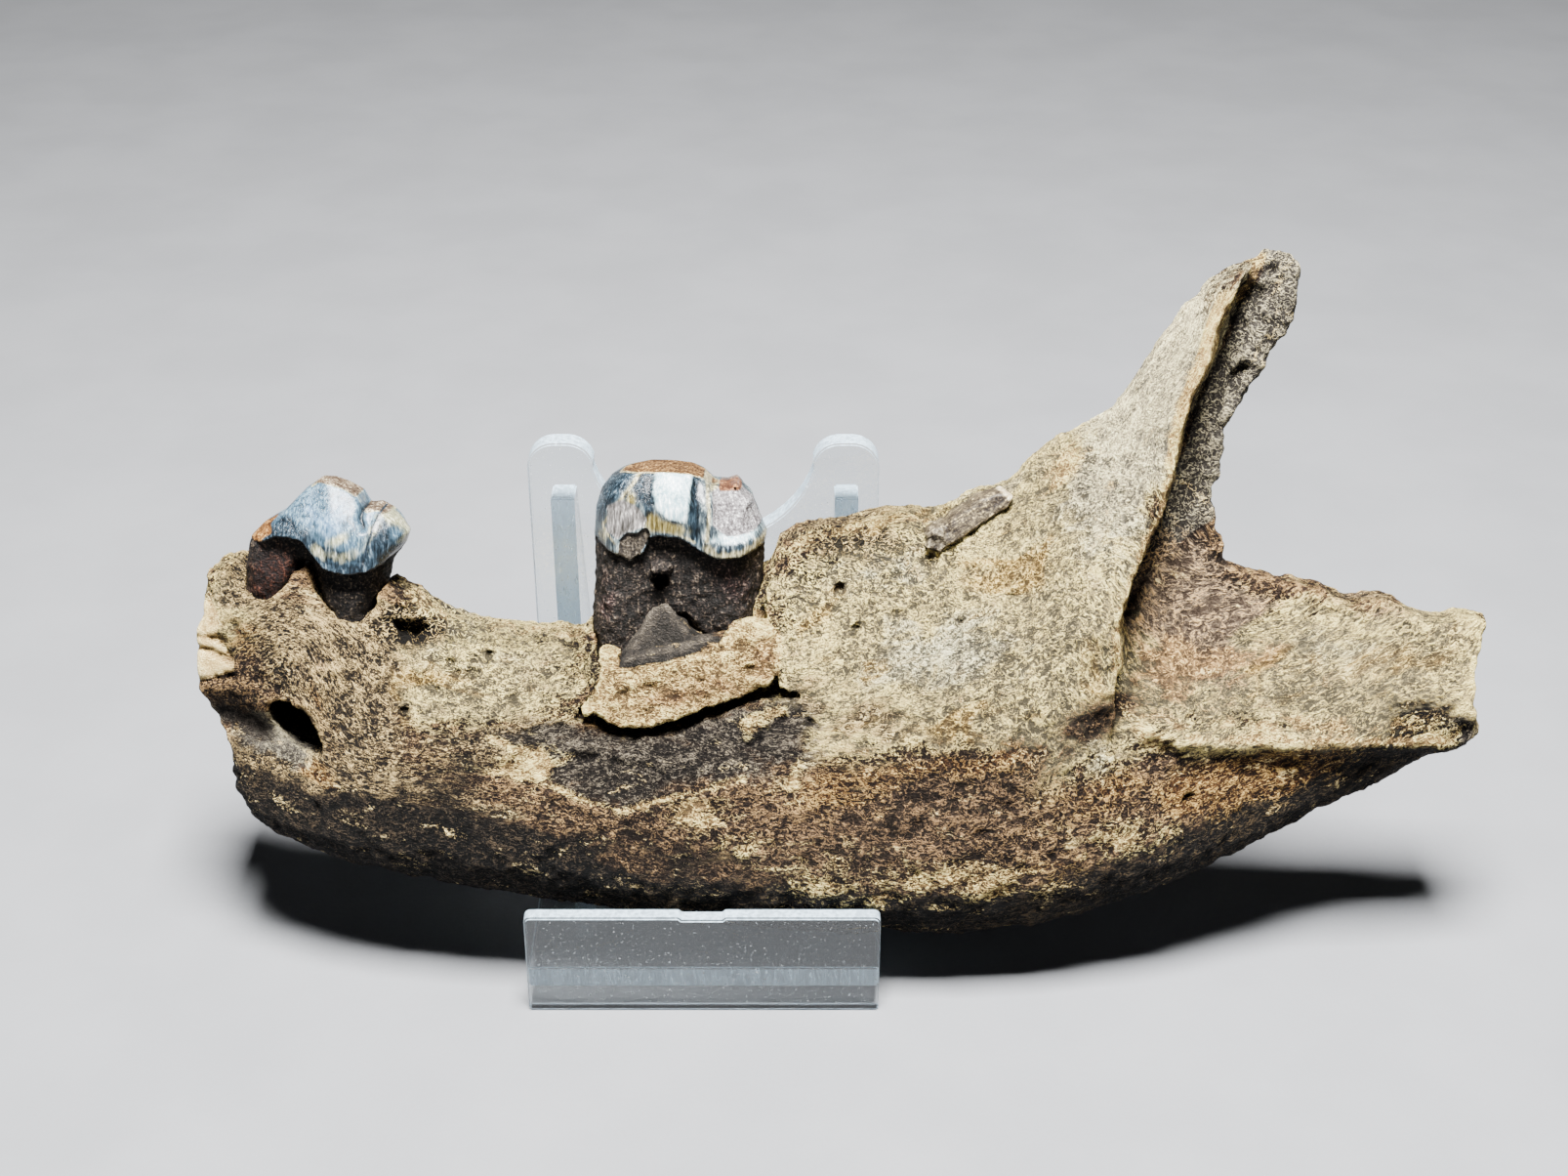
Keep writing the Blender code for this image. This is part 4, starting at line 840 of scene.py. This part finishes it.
def bone_look(tree, shader):
    """Mineralised bone, dull and dry, with thin curling ridges along its grain.

    Its fibre bundles are about a tenth of a millimetre wide, too fine to show, so they are
    drawn at a third of one. The ridges have their real width, about three quarters of one.
    """
    place, grain = painted(tree, "place"), painted(tree, "grain")
    rough, spongy = painted(tree, "rough"), painted(tree, "spongy")
    wander = add(tree, "TexNoise", {"Vector": grain, "Scale": 1.5, "Detail": 3}).outputs[1]
    bent = add(tree, "VectorMath", {0: grain, 1: wander}, operation="ADD").outputs[0]
    curl = speckle(tree, bent, 0.74, detail=1.5, stretch=(0.5, 1, 0.8), warp=1.4)
    knot = speckle(tree, place, 0.75, detail=1.5, warp=1.0)
    scales = between(tree, rough, ridges(tree, curl), ridges(tree, knot))
    fibre = speckle(tree, grain, 0.36, detail=5, rough=0.72, stretch=(0.6, 1, 0.8), warp=1.6)
    granule = speckle(tree, place, 0.33, detail=5, rough=0.7)
    clump = speckle(tree, grain, 2.4, detail=6, rough=0.66, stretch=(0.6, 1, 1), warp=0.6)
    cloud = speckle(tree, place, 12, detail=4)
    plain = between(tree, rough, fibre, granule)
    scaly = maths(tree, "MULTIPLY", maths(tree, "SUBTRACT", scales, 0.33),
                  spread(tree, spongy, 0, 1, 0.34, 0.42))
    weave = between(tree, painted(tree, "calm"), maths(tree, "ADD", plain, scaly), 0.55)
    # The tone takes painted shade in the hollows and painted light on the rises, from how far each
    # corner is sunk.
    tone = summed(tree, 0.49, centred(tree, weave, 1.65), centred(tree, clump, 0.22),
                  centred(tree, cloud, 0.5), centred(tree, painted(tree, "hollow_shade"), -0.5))
    breaker = summed(tree, 0.5, centred(tree, clump, 2.2), centred(tree, weave, 0.9))
    drift = speckle(tree, grain, 4.2, detail=5, rough=0.6, stretch=(0.6, 1, 1), warp=0.8)
    drift = maths(tree, "ADD", 0.5, centred(tree, drift, 2.4))
    layers = [(name, shades) for name, _, shades in bone_layers]
    base = "110a06 241b12 3c2e26 644e35 af8b59"
    surface = layered(tree, base, layers, tone, breaker, 0.2, drift)
    fill(tree, shader, {
        "Base Color": surface, "Roughness": spread(tree, weave, 0.35, 0.7, 0.8, 0.55),
        "Specular IOR Level": 0.08, "Normal": bumped(tree, weave, 3.0)})


bone.data.materials.append(new_material("mineralised bone", bone_look))
settle(bone, "jaw_bone")

# THE SMALL FRONT PREMOLAR
# Blue-grey mineralised enamel over two roots stained nearly black. Its main cusp and rear
# cusp are worn flat, the enamel's front end is broken off, and dark blotches follow the neck.

p2_neck = p2_shape["crown"][8:]
p2_notch = [(23.7, 55.9), (23.1, 54.6), (22.9, 53.6), (23.3, 52.6)]
p2_crack = [(25.6, 55.2), (24.8, 53.4), (24, 51), (23.4, 48.7)]
p2_break = [(8.2, 50.4), (9.4, 52.9), (10.6, 52.8), (11.4, 54.3), (12.6, 55), (12.6, 53.6),
            (12, 52.9), (12.3, 51.9), (11.2, 51.3), (10.5, 50.4)]
p2_layers = [
    ("pale", dict(ovals=[(20.3, 53.9, 1.9, 3, -20, .75), (17, 54.4, 1.2, 2, 20, .5),
                         (26.5, 51.8, 1.4, 1, -40, .4), (24, 53.8, .6, 1, -20, .5)]),
     "203240 314759 435b70 597184 798e9d"),
    ("navy", dict(ovals=[(19.3, 49.7, 2.7, 1, -10, 1.2), (24.2, 49.4, 1.9, .8, 25, 1.1),
                         (25.4, 52, 1.5, 1.7, 0, .85), (14, 53.1, 1.7, .7, 0, .9),
                         (14, 52.1, 2.2, .7, 0, .9), (13.9, 53.4, .6, .6, 0, .7),
                         (26, 50.3, 1.2, 1.6, 40, .7), (16.6, 51.6, 1, .7, -40, .7),
                         (26.6, 53.2, 1, .5, -40, .5)], lines=[(p2_neck, 1.5, 1.3)]),
     "040608 090e12 121a20 222d35 54626b"),
    ("cream", dict(ovals=[(20.5, 51.4, 2.1, .8, 25, .62)], lines=[
        ([(17.7, 50.3), (18.9, 49.6), (20.6, 49.3), (21.9, 49.6), (23, 50.3), (24.2, 51.8),
          (25.2, 53.6)], .8, .45), ([(27.9, 50.7), (28.4, 51.7), (27.3, 53), (25.8, 54.1)], .7, .8),
        ([(22.8, 56.9), (23.2, 55.6)], .5, .8), ([(18, 58.2), (20.8, 57.6),
        (22.8, 56.3)], .5, .6)]),
     "44432f 5a5943 717055 8c8b72 c0bfaa"),
    ("worn", dict(), "0d0805 221912 3a2e23 665947 c9bea2"),
    ("break", dict(patches=[(p2_break, .25, 1)]),
     "170b05 301b08 4d3015 78552b c7a264"),
    ("root", dict(), "010101 040404 0b0807 1c1713 5c5142"),
    ("red_root", dict(ovals=[(12, 46, 3.6, 4.5, 0, 1)]),
     "020101 070302 100503 200e08 4b2c20"),
    ("crack", dict(lines=[(p2_crack, .16, 1), (p2_notch, .3, .8)]),
     "040405 070b0e 0f161a 1e252d 404c55")]


def grown_tooth(name, shape, cell, low, span, carve):
    """Mesh of a tooth: its field on a fine grid, with `carve` changing the cheek height."""
    lines = [start + cell * np.arange(int(size / cell)) for start, size in zip(low, span)]
    u, v = np.meshgrid(lines[0], lines[1], indexing="ij")
    front, back, depth, rim, square = tooth_field(shape, u, v, lines[2])
    front = front + carve(u, v)
    field = body_field(u, v, lines[2], front, back, depth, rim, square)
    return new_piece(name, *skin(field, low, cell))


def finish_tooth(piece, shape, layers, wear, relief):
    """Fine relief, then the masks of a tooth: neck, wear, layers and gloss.

    `wear` is the lowest v of the worn facets, then their middle and half width along u and w.
    """
    wear_height, middle_u, half_u, middle_w, half_w = wear
    places, normals = corners_of(piece)
    u, v, w = places.T
    crown = within(shape["crown"], u, v, 0.12, 0.12)
    rough = 1 - 0.85 * crown
    shift = relief * rough * rumple(places, 1.1, 3) + 0.05 * rumple(places, 2.5, 8)
    move_corners(piece, places + normals * shift[:, None])
    worn = ramp(normals[:, 1], 0.68, 0.84) * ramp(v, wear_height, wear_height + 1) * crown
    worn = worn * ramp(-np.hypot((u - middle_u) / half_u, (w - middle_w) / half_w), -1.05, -0.9)
    facet_rim = (4 * worn * (1 - worn)) ** 0.5
    gloss = crown * (1 - 0.7 * worn)
    paint(piece, "place", places)
    # Painted shade and light: sunk corners are toned darker, raised ones lighter.
    paint(piece, "hollow_shade", (0.5 + hollowness(piece, 14) * 1.6).clip(0, 1))
    for name, where, _ in layers:
        mask = region(u, v, **where)
        if name == "worn":
            mask = worn
        elif name == "cream":
            mask = np.maximum(mask * crown * ramp(w, -2, 0), 0.9 * facet_rim)
        elif name == "root":
            mask = 1 - crown
        elif name == "red_root":
            mask = mask * (1 - crown)
        elif name in ("break", "bare", "chipped"):
            gloss = gloss * (1 - 0.8 * mask)
            mask = mask * ramp(w, -1, 1)
        else:
            mask = mask * crown * (0.45 + 0.55 * ramp(w, -2, 0))
        paint(piece, name, mask)
    paint(piece, "gloss", gloss)


def tooth_look(base, layers):
    """Enamel like blue-grey porcelain with fine upright streaks; roots dull and fibrous.

    Real enamel prisms are far too fine to show, so the streaks are drawn a quarter of a
    millimetre wide, as the stain that follows them is.
    """
    def look(tree, shader):
        place, gloss = painted(tree, "place"), painted(tree, "gloss")
        streak = speckle(tree, place, 0.27, detail=3, rough=0.6, stretch=(1, 0.15, 1), warp=0.4)
        grit = speckle(tree, place, 0.3, detail=4, rough=0.65)
        clump = speckle(tree, place, 1.3, detail=3, rough=0.55, stretch=(1, 0.6, 1), warp=0.6)
        fine = between(tree, gloss, between(tree, 0.75, streak, grit), streak)
        swing = spread(tree, gloss, 0, 1, 1.5, 0.95)
        # The tone darkens sunk places and lightens raised ones: painted shade and light.
        tone = summed(tree, 0.5, centred(tree, fine, swing), centred(tree, clump, 0.4),
                      centred(tree, painted(tree, "hollow_shade"), -0.35))
        breaker = summed(tree, clump, centred(tree, streak, 0.35))
        shades = [(name, tints) for name, _, tints in layers]
        height = maths(tree, "MULTIPLY", fine, spread(tree, gloss, 0, 1, 1, 0.4))
        dull = spread(tree, fine, 0.3, 0.7, 0.75, 0.5)
        fill(tree, shader, {
            "Base Color": layered(tree, base, shades, tone, breaker, 0.3),
            "Roughness": between(tree, gloss, dull, spread(tree, grit, 0.35, 0.7, 0.14, 0.3)),
            "Specular IOR Level": 0.12, "Coat Weight": maths(tree, "MULTIPLY", gloss, 0.25),
            "Coat Roughness": 0.3, "Normal": bumped(tree, height, 0.4)})
    return look


def carve_p2(u, v):
    swell = 0.3 * near_line(p2_neck, u, v, 1.1)
    notch = 1.1 * near_line(p2_notch, u, v, 0.35)
    scar = 0.5 * within(p2_break, u, v, 0.2, 0.3)
    ridge = 0.3 * near_line([(19, 58), (19.5, 54), (20.5, 50)], u, v, 1.2)
    crack_groove = 0.15 * near_line(p2_crack, u, v, 0.2)
    return swell + ridge - notch - scar - crack_groove


p2_enamel = "131e25 23323b 334552 4b616d 6d8189"
p2 = grown_tooth("front_premolar", p2_shape, 0.2, (6, 32.5, -7.5), (24.5, 28, 15.5), carve_p2)
finish_tooth(p2, p2_shape, p2_layers, (53.5, 22.4, 5.6, 0, 9), 0.16)
p2.data.materials.append(new_material("blue-grey enamel", tooth_look(p2_enamel, p2_layers)))
settle(p2, "premolar_p2")

# THE BIG BACK PREMOLAR
# A bone-cracking tooth worn to a flat oval of orange dentine inside a cream enamel rim. The
# rear face of its enamel is split off, and a chip is out of the front corner of its neck.

p4_neck = p4_shape["crown"][6:]
p4_bare = [(65.3, 57.2), (66.5, 57.6), (69.9, 57.5), (70.8, 55.4), (71.6, 53.2), (70.2, 52.3),
           (67.1, 52.1), (65.4, 53.4)]
p4_chipped = [(54, 49.3), (54.2, 51.5), (55, 52.4), (56.4, 52.5), (57.4, 53.2), (58, 52.4),
              (57.4, 51.2), (56.8, 50.3), (56.3, 49)]
p4_grey = [(52.7, 55.4), (54.5, 56.3), (56.5, 55.6), (57.6, 54.2), (57.1, 53.3), (55, 52.4),
           (54, 51.6), (52.6, 52.3)]
p4_panel = [(58.7, 60), (62.9, 60), (62.6, 55.6), (62.1, 53.8), (60, 54.2), (58.9, 55.3),
            (58.3, 57)]
p4_layers = [
    ("navy", dict(ovals=[(64.2, 51.2, .8, .9, 0, .6)], lines=[(p4_neck[4:], .55, .75)], patches=[
        ([(50, 52.5), (51, 57.5), (53.5, 60), (56.8, 60.6), (55.2, 57.8), (53.3, 55.3),
          (51.6, 52.9)], .5, .8),
        ([(55.7, 58.2), (57.2, 60), (58.7, 60), (58.3, 56.5), (58.4, 54.2), (57.5, 53.9),
          (57.1, 55.8), (56.1, 57)], .3, .95),
        ([(62.8, 60), (63.9, 59.4), (63.7, 50.8), (62.7, 51.5), (62.3, 54.5)], .3, .9)]),
     "030405 070c0f 10171c 212c33 53626b"),
    # Partly painted glare: the flat panel is painted near-white where it shines, over its pale blue
    # colour.
    ("pale", dict(patches=[(p4_panel, .6, 1)], ovals=[(68.2, 52, 3, .8, 4, .9)]),
     "556c72 6e898f 849b9f a7b4b4 e7eae6"),
    ("cream", dict(ovals=[(51.9, 51.6, 1, .9, 0, .6)], lines=[
        ([(57.3, 60.2), (55.6, 57.9), (53.8, 55.5), (52, 52.9), (53.6, 51)], .25, .75),
        ([(64.6, 59.4), (64.9, 55), (64.7, 51.6)], .3, .7),
        ([(64.8, 50.6), (67, 49.9), (69, 50.2), (71.5, 51.3)], .7, .75),
        ([(58.1, 52.9), (60, 52.8), (61.6, 52.3), (63, 51.4)], .35, .6),
        ([(53.3, 59.3), (56, 60.2), (60, 60.4), (64, 59.6)], .35, .9),
        ([(65.3, 57.6), (66.6, 58.3), (68.6, 59), (69.4, 57.6)], .5, .9)]),
     "231f15 403c29 625c45 908969 dcd6b6"),
    ("ochre", dict(ovals=[(58.2, 54, .9, 1.3, 0, .8), (60.4, 53.2, 2.4, .9, -12, .9),
                          (55.7, 56.5, .9, 1, 30, .8)], lines=[(p4_neck, .35, .55)]),
     "25200e 362f17 494123 645c39 968b64"),
    ("spot", dict(ovals=[(66.1, 50.6, .5, .7, 0, 1), (67.3, 50.7, .45, .6, 0, 1),
                         (68.6, 50.9, .5, .6, 0, 1), (69.9, 51.2, .4, .5, 0, .9),
                         (59.6, 52.3, 1.2, .3, 0, .8)],
                  lines=[(p4_neck[4:10], .45, .8)]),
     "040607 0c1014 192125 354047 727e86"),
    ("bare", dict(patches=[(p4_bare, .15, 1)]),
     "2b2828 433f3f 5b5757 827f7e d6d2cf"),
    ("grey", dict(patches=[(p4_grey, .35, 1)]),
     "1e1d1a 363431 4e4b49 736f6b beb9b2"),
    ("chipped", dict(patches=[(p4_chipped, .1, 1)]),
     "0d0b08 191512 28231d 423b31 7b7060"),
    ("band", dict(patches=[([(65.8, 58), (66.2, 57.1), (70, 57.1), (70.2, 58.2)], .15, 1)]),
     "150804 2b170e 422819 67452c b88d62"),
    ("worn", dict(), "0b0503 1d0f07 342311 5c4224 b6915b"),
    ("root", dict(), "030101 080705 0f0c09 231c19 605546"),
    ("red_root", dict(ovals=[(67.5, 46, 3, 4, 0, .6), (52.5, 44, 1.6, 4, 0, .5)]),
     "030101 080304 120908 281917 776057"),
    ("plug", dict(ovals=[(59.1, 47.7, .9, .9, 0, 1)]),
     "2c2213 4d4028 6a5b3f 928468 d3c8ab")]


def carve_p4(u, v):
    lower = 0.75 * within(p4_bare, u, v, 0.1, 0.25)
    chip_depth = 0.5 * within(p4_chipped, u, v, 0.05, 0.12)
    facet = 0.3 * within(p4_grey, u, v, 0.3, 0.5)
    lip = 0.35 * bulge(u, v, 68.5, 50.9, 3, 0.9, 5)
    panel = 0.25 * within(p4_panel, u, v, 0.35, 0.2)
    groove = 0.4 * bulge(u, v, 63.5, 55, 0.5, 4, 0)
    hole = 2.0 * ramp(bulge(u, v, 59, 46.4, 1.1, 1.3) + 0.3 * rumple_flat(u, v, 0.9, 2.7), 0.4, 0.7)
    plug = bulge(u, v, 59.1, 48, 1.3, 0.9) + 0.3 * rumple_flat(u, v, 0.8, 6.7)
    lump = 2.0 * ramp(plug, 0.35, 0.9)
    return lip + panel - lower - chip_depth - facet - groove - hole + lump


p4 = grown_tooth("back_premolar", p4_shape, 0.22, (48.5, 27, -9), (25.5, 35, 19), carve_p4)
p4_enamel = "090c0c 191e22 2f373a 535c5c 9da49d"
finish_tooth(p4, p4_shape, p4_layers, (57, 60.1, 6, 0.6, 4.6), 0.2)
p4.data.materials.append(new_material("smoky enamel", tooth_look(p4_enamel, p4_layers)))
settle(p4, "premolar_p4")

# THE SPLINTER OF THE FLESH TOOTH
# What is left of the next tooth back: a grey-tan sliver of dentine lying in its filled socket,
# lumpy with sediment at its front end and cut off square at the back.

splinter_shape = {
    "outline": [(90.7, 50.6), (90.5, 52.2), (91.4, 53.1), (93, 53.7), (97, 56.6), (99.8, 57.5),
                (101.3, 56.6), (100.6, 55.4), (96.8, 52.9), (94.2, 51.1), (92.4, 50)],
    "cheek": [(91.5, 51.5, 7.0), (96, 55, 6.5), (100.5, 56.5, 6.1), (95, 51.8, 7.2)],
    "tongue": [(91.5, 51.5, 1.4), (96, 55, 1.6), (100.5, 56.5, 2)]}
cell = 0.2
low = (89, 48.5, 0)
lines = [start + cell * np.arange(int(size / cell)) for start, size in zip(low, (14, 10.5, 9))]
u, v = np.meshgrid(lines[0], lines[1], indexing="ij")
lump = ramp(-u, -94.5, -92.5)
front = smooth_height(splinter_shape["cheek"])(u, v) + 0.7 * lump * rumple_flat(u, v, 1.4, 2.2)
front += 0.12 * rumple_flat(u * 0.5 + v * 0.3, v * 2 - u * 1.3, 0.9, 5.2)
back = smooth_height(splinter_shape["tongue"])(u, v)
depth = depth_inside(splinter_shape["outline"], u, v) + 0.15 * rumple_flat(u, v, 1.0, 7.4)
field = body_field(u, v, lines[2], front, back, depth, 0.7 + 0 * u, 3 + 0 * u)
splinter = new_piece("tooth_splinter", *skin(field, low, cell))
places, normals = corners_of(splinter)
u, v, w = places.T
paint(splinter, "place", np.stack([0.8 * v - 0.6 * u, 0.8 * u + 0.6 * v, w], 1))
paint(splinter, "gloss", 0.25 + 0 * u)
# Painted shade and light: sunk corners are toned darker, raised ones lighter.
paint(splinter, "hollow_shade", (0.5 + hollowness(splinter, 14) * 1.6).clip(0, 1))
splinter_layers = [
    ("cream", dict(lines=[([(99.6, 57.6), (101.4, 56.2), (100.7, 55)], .5, .9),
                          ([(92.5, 54), (97, 57.3)], .5, .5)]),
     "4b3f2b 6f6044 88795b a89d83 e2dbc4"),
    ("grey", dict(ovals=[(92, 51.6, 2, 2, 0, .8)]),
     "100c08 262119 3f382c 645b49 ab9e84"),
    ("crack", dict(lines=[([(93.6, 50.5), (96.4, 52.4), (100.6, 54.9)], .35, .8)]),
     "090705 16110d 261d17 40332c 736355")]
for name, where, _ in splinter_layers:
    paint(splinter, name, region(u, v, **where))
splinter_base = "090704 1c150f 312a20 564c38 baa473"
# Old dentine is dull and fibrous like the roots, with hardly any of the enamel's gloss.
splinter.data.materials.append(
    new_material("old dentine", tooth_look(splinter_base, splinter_layers)))
settle(splinter, "molar_splinter")

# THE ACRYLIC STAND
# Five pieces of clear acrylic sheet solvent-welded together: a front lip, a shelf, a back
# plate with two ears, and two sloping legs behind. The faces are polished; the saw-cut edges
# are frosted and look pale blue.

stand_middle = -16.6 * mm
stand_half = 21.8 * mm
sheet = 3 * mm
lip_front = -29.4 * mm
lip_thick = 2 * mm
shelf_top = 5.6 * mm
back_front = 2.1 * mm
weld = 0.3 * mm


def acrylic_look(tree, shader):
    """Clear cast acrylic: see-through faces with scratches and dust, cut edges like frost.

    Hair scratches and dust of a few hundredths of a millimetre are too fine to show, so they
    are drawn at a quarter to a third of one. Saw marks have their real width.
    """
    place = add(tree, "TexCoord").outputs["Object"]
    across = add(tree, "Attribute", attribute_name="across").outputs["Vector"]
    normal = add(tree, "TexCoord").outputs["Normal"]
    facing = add(tree, "VectorMath", {0: normal, 1: across}, operation="DOT_PRODUCT").outputs[1]
    cut_edge = spread(tree, maths(tree, "ABSOLUTE", facing), 0.92, 0.5)
    haze = speckle(tree, place, 7 * mm, detail=4)
    dust = spread(tree, speckle(tree, place, 0.35 * mm, detail=2), 0.66, 0.72)
    scratch = speckle(tree, place, 0.25 * mm, detail=2, stretch=(0.05, 1, 1), warp=1.5)
    saw = speckle(tree, place, 0.5 * mm, detail=3, stretch=(1, 1, 0.3))
    lines = maths(tree, "MULTIPLY", spread(tree, scratch, 0.64, 0.7), 0.12)
    face_rough = maths(tree, "ADD", spread(tree, haze, 0.3, 0.8, 0.015, 0.06), lines)
    edge_rough = spread(tree, saw, 0.3, 0.7, 0.25, 0.5)
    clear = maths(tree, "SUBTRACT", 1, maths(tree, "MULTIPLY", dust, 0.35))
    frosted = spread(tree, saw, 0.3, 0.7, 0.55, 0.8)
    height = maths(tree, "MULTIPLY", saw, cut_edge)
    fill(tree, shader, {
        "Base Color": mixed(tree, cut_edge, colour("f4f9fb"), colour("c9dfee")),
        "Roughness": between(tree, cut_edge, face_rough, edge_rough),
        "Transmission Weight": between(tree, cut_edge, clear, frosted),
        "IOR": 1.49, "Normal": bumped(tree, height, 0.12)})


clear_acrylic = new_material("clear acrylic", acrylic_look)


def arc(centre_x, centre_y, radius, start, end, steps=12):
    """Points of an arc, its angles in degrees."""
    angles = [math.radians(start + (end - start) * k / steps) for k in range(steps + 1)]
    return [(centre_x + radius * math.cos(a), centre_y + radius * math.sin(a)) for a in angles]


def cut_sheet(name, node, outline, axis, near, far):
    """Sheet from a flat outline, with broken edges. `axis` is the one it is thin along."""
    def at(point, level):
        first, second = point
        return {"x": (level, first, second), "y": (first, level, second),
                "z": (first, second, level)}[axis]

    count = len(outline)
    corners = [at(point, near) for point in outline] + [at(point, far) for point in outline]
    ring = list(range(count))
    sides = [(k, (k + 1) % count, (k + 1) % count + count, k + count) for k in ring]
    mesh = bpy.data.meshes.new(name)
    mesh.from_pydata(corners, [], [ring[::-1], [k + count for k in ring]] + sides)
    shell = bmesh.new()
    shell.from_mesh(mesh)
    bmesh.ops.recalc_face_normals(shell, faces=shell.faces)
    sharp = [edge for edge in shell.edges if edge.calc_face_angle(0) > math.radians(50)]
    bmesh.ops.bevel(shell, geom=sharp, offset=0.22 * mm, segments=2, affect="EDGES")
    shell.to_mesh(mesh)
    shell.free()
    piece = bpy.data.objects.new(name, mesh)
    bpy.context.scene.collection.objects.link(piece)
    direction = [float(axis == letter) for letter in "xyz"]
    paint(piece, "across", [direction] * len(mesh.vertices))
    mesh.materials.append(clear_acrylic)
    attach(piece, "root")
    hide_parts(node)
    return piece


def about_middle(points):
    return [(x + stand_middle, y) for x, y in points]


lip_height, notch_half, notch_depth, lip_corner = 14.5 * mm, 2.85 * mm, 0.35 * mm, 0.8 * mm
top = lip_height - lip_corner
outline = [(-stand_half, 0), (stand_half, 0)]
outline += arc(stand_half - lip_corner, top, lip_corner, 0, 90, 5)
outline += [(notch_half, lip_height), (notch_half - notch_depth, lip_height - notch_depth),
            (notch_depth - notch_half, lip_height - notch_depth), (-notch_half, lip_height)]
outline += arc(lip_corner - stand_half, top, lip_corner, 90, 180, 5)
cut_sheet("stand_front_lip", "stand_lip", about_middle(outline), "y", lip_front,
          lip_front + lip_thick)

shelf_near, shelf_far = lip_front + lip_thick + weld, back_front - weld
outline = [(-stand_half, shelf_near), (stand_half, shelf_near), (stand_half, shelf_far),
           (-stand_half, shelf_far)]
cut_sheet("stand_support", "stand_shelf", about_middle(outline), "z", shelf_top - sheet, shelf_top)

ear_top, ear_radius, yoke_half, yoke_depth = 63.2 * mm, 3.4 * mm, 14.2 * mm, 13.8 * mm
ear = arc(stand_half - ear_radius, ear_top - ear_radius, ear_radius, 0, 90)
ear += arc(yoke_half + ear_radius * 0.8, ear_top - ear_radius, ear_radius, 90, 165, 8)
yoke = [(yoke_half * math.cos(math.radians(7.5 * k)),
         ear_top - yoke_depth * math.sin(math.radians(7.5 * k))) for k in range(2, 23)]
outline = [(-stand_half, 0), (stand_half, 0)] + ear + yoke + [(-x, z) for x, z in reversed(ear)]
cut_sheet("stand_eared_back", "stand_back", about_middle(outline), "y", back_front,
          back_front + sheet)

leg_offset, leg_top, leg_top_depth, leg_foot_depth = 17.9 * mm, 54.5 * mm, 4 * mm, 24 * mm
leg_start = back_front + sheet + weld
outline = [(leg_start, 0), (leg_start + leg_foot_depth, 0), (leg_start + leg_foot_depth, sheet),
           (leg_start + leg_top_depth, leg_top), (leg_start, leg_top)]
for side, name in ((-1, "left"), (1, "right")):
    centre = stand_middle + side * leg_offset
    cut_sheet("stand_prop_" + name, "stand_leg_" + name, outline, "x", centre - sheet / 2,
              centre + sheet / 2)

# THE STUDIO
# Plain pale floor, soft light from overhead and in front, and the camera at the
# photograph's angle: 30 degrees above the floor and 27 cm from the jaw.


def floor_look(tree, shader):
    """Matt pale grey card with the faintest mottle, its fibres drawn coarse enough to show."""
    place = add(tree, "TexCoord").outputs["Object"]
    mottle = speckle(tree, place, 30 * mm, detail=5)
    fibre = speckle(tree, place, 0.6 * mm, detail=2)
    fill(tree, shader, {
        "Base Color": mixed(tree, spread(tree, mottle, 0.3, 0.7), "656668", "6a6b6d"),
        "Roughness": spread(tree, fibre, 0.3, 0.7, 0.75, 0.9), "Specular IOR Level": 0.2,
        "Normal": bumped(tree, fibre, 0.02)})


floor_mesh = bpy.data.meshes.new("floor")
floor_mesh.from_pydata([(-2, -2, 0), (2, -2, 0), (2, 2, 0), (-2, 2, 0)], [], [(0, 1, 2, 3)])
floor = bpy.data.objects.new("floor", floor_mesh)
bpy.context.scene.collection.objects.link(floor)
floor_mesh.materials.append(new_material("pale card", floor_look))

camera_data = bpy.data.cameras.new("camera")
camera_data.sensor_width = 36
focal_length, photo_width = 2250, 1606
camera_data.lens = focal_length / photo_width * camera_data.sensor_width
camera = bpy.data.objects.new("camera", camera_data)
bpy.context.scene.collection.objects.link(camera)
camera_tilt = math.radians(30)
camera_distance = 0.27
aim = Vector(to_stand([(73.84, 44.18, 0)])[0])
toward_camera = Vector((0, -math.cos(camera_tilt), math.sin(camera_tilt)))
camera.location = aim + camera_distance * toward_camera
camera.rotation_euler = (math.radians(90) - camera_tilt, 0, 0)
bpy.context.scene.camera = camera

world = bpy.data.worlds.new("room")
world.use_nodes = True
world.node_tree.nodes["Background"].inputs["Color"].default_value = colour("dfe2e6")
world.node_tree.nodes["Background"].inputs["Strength"].default_value = 0.07
bpy.context.scene.world = world

for name, place, size, energy in (("overhead", (0.0, -0.1, 0.5), 0.15, 33),
                                  ("front fill", (-0.15, -0.6, 0.3), 0.5, 0.2)):
    light_data = bpy.data.lights.new(name, "AREA")
    light_data.energy = energy
    light_data.size = size
    light = bpy.data.objects.new(name, light_data)
    light.location = place
    toward = Vector((0, 0, 0.03)) - Vector(place)
    light.rotation_euler = toward.to_track_quat("-Z", "Y").to_euler()
    bpy.context.scene.collection.objects.link(light)
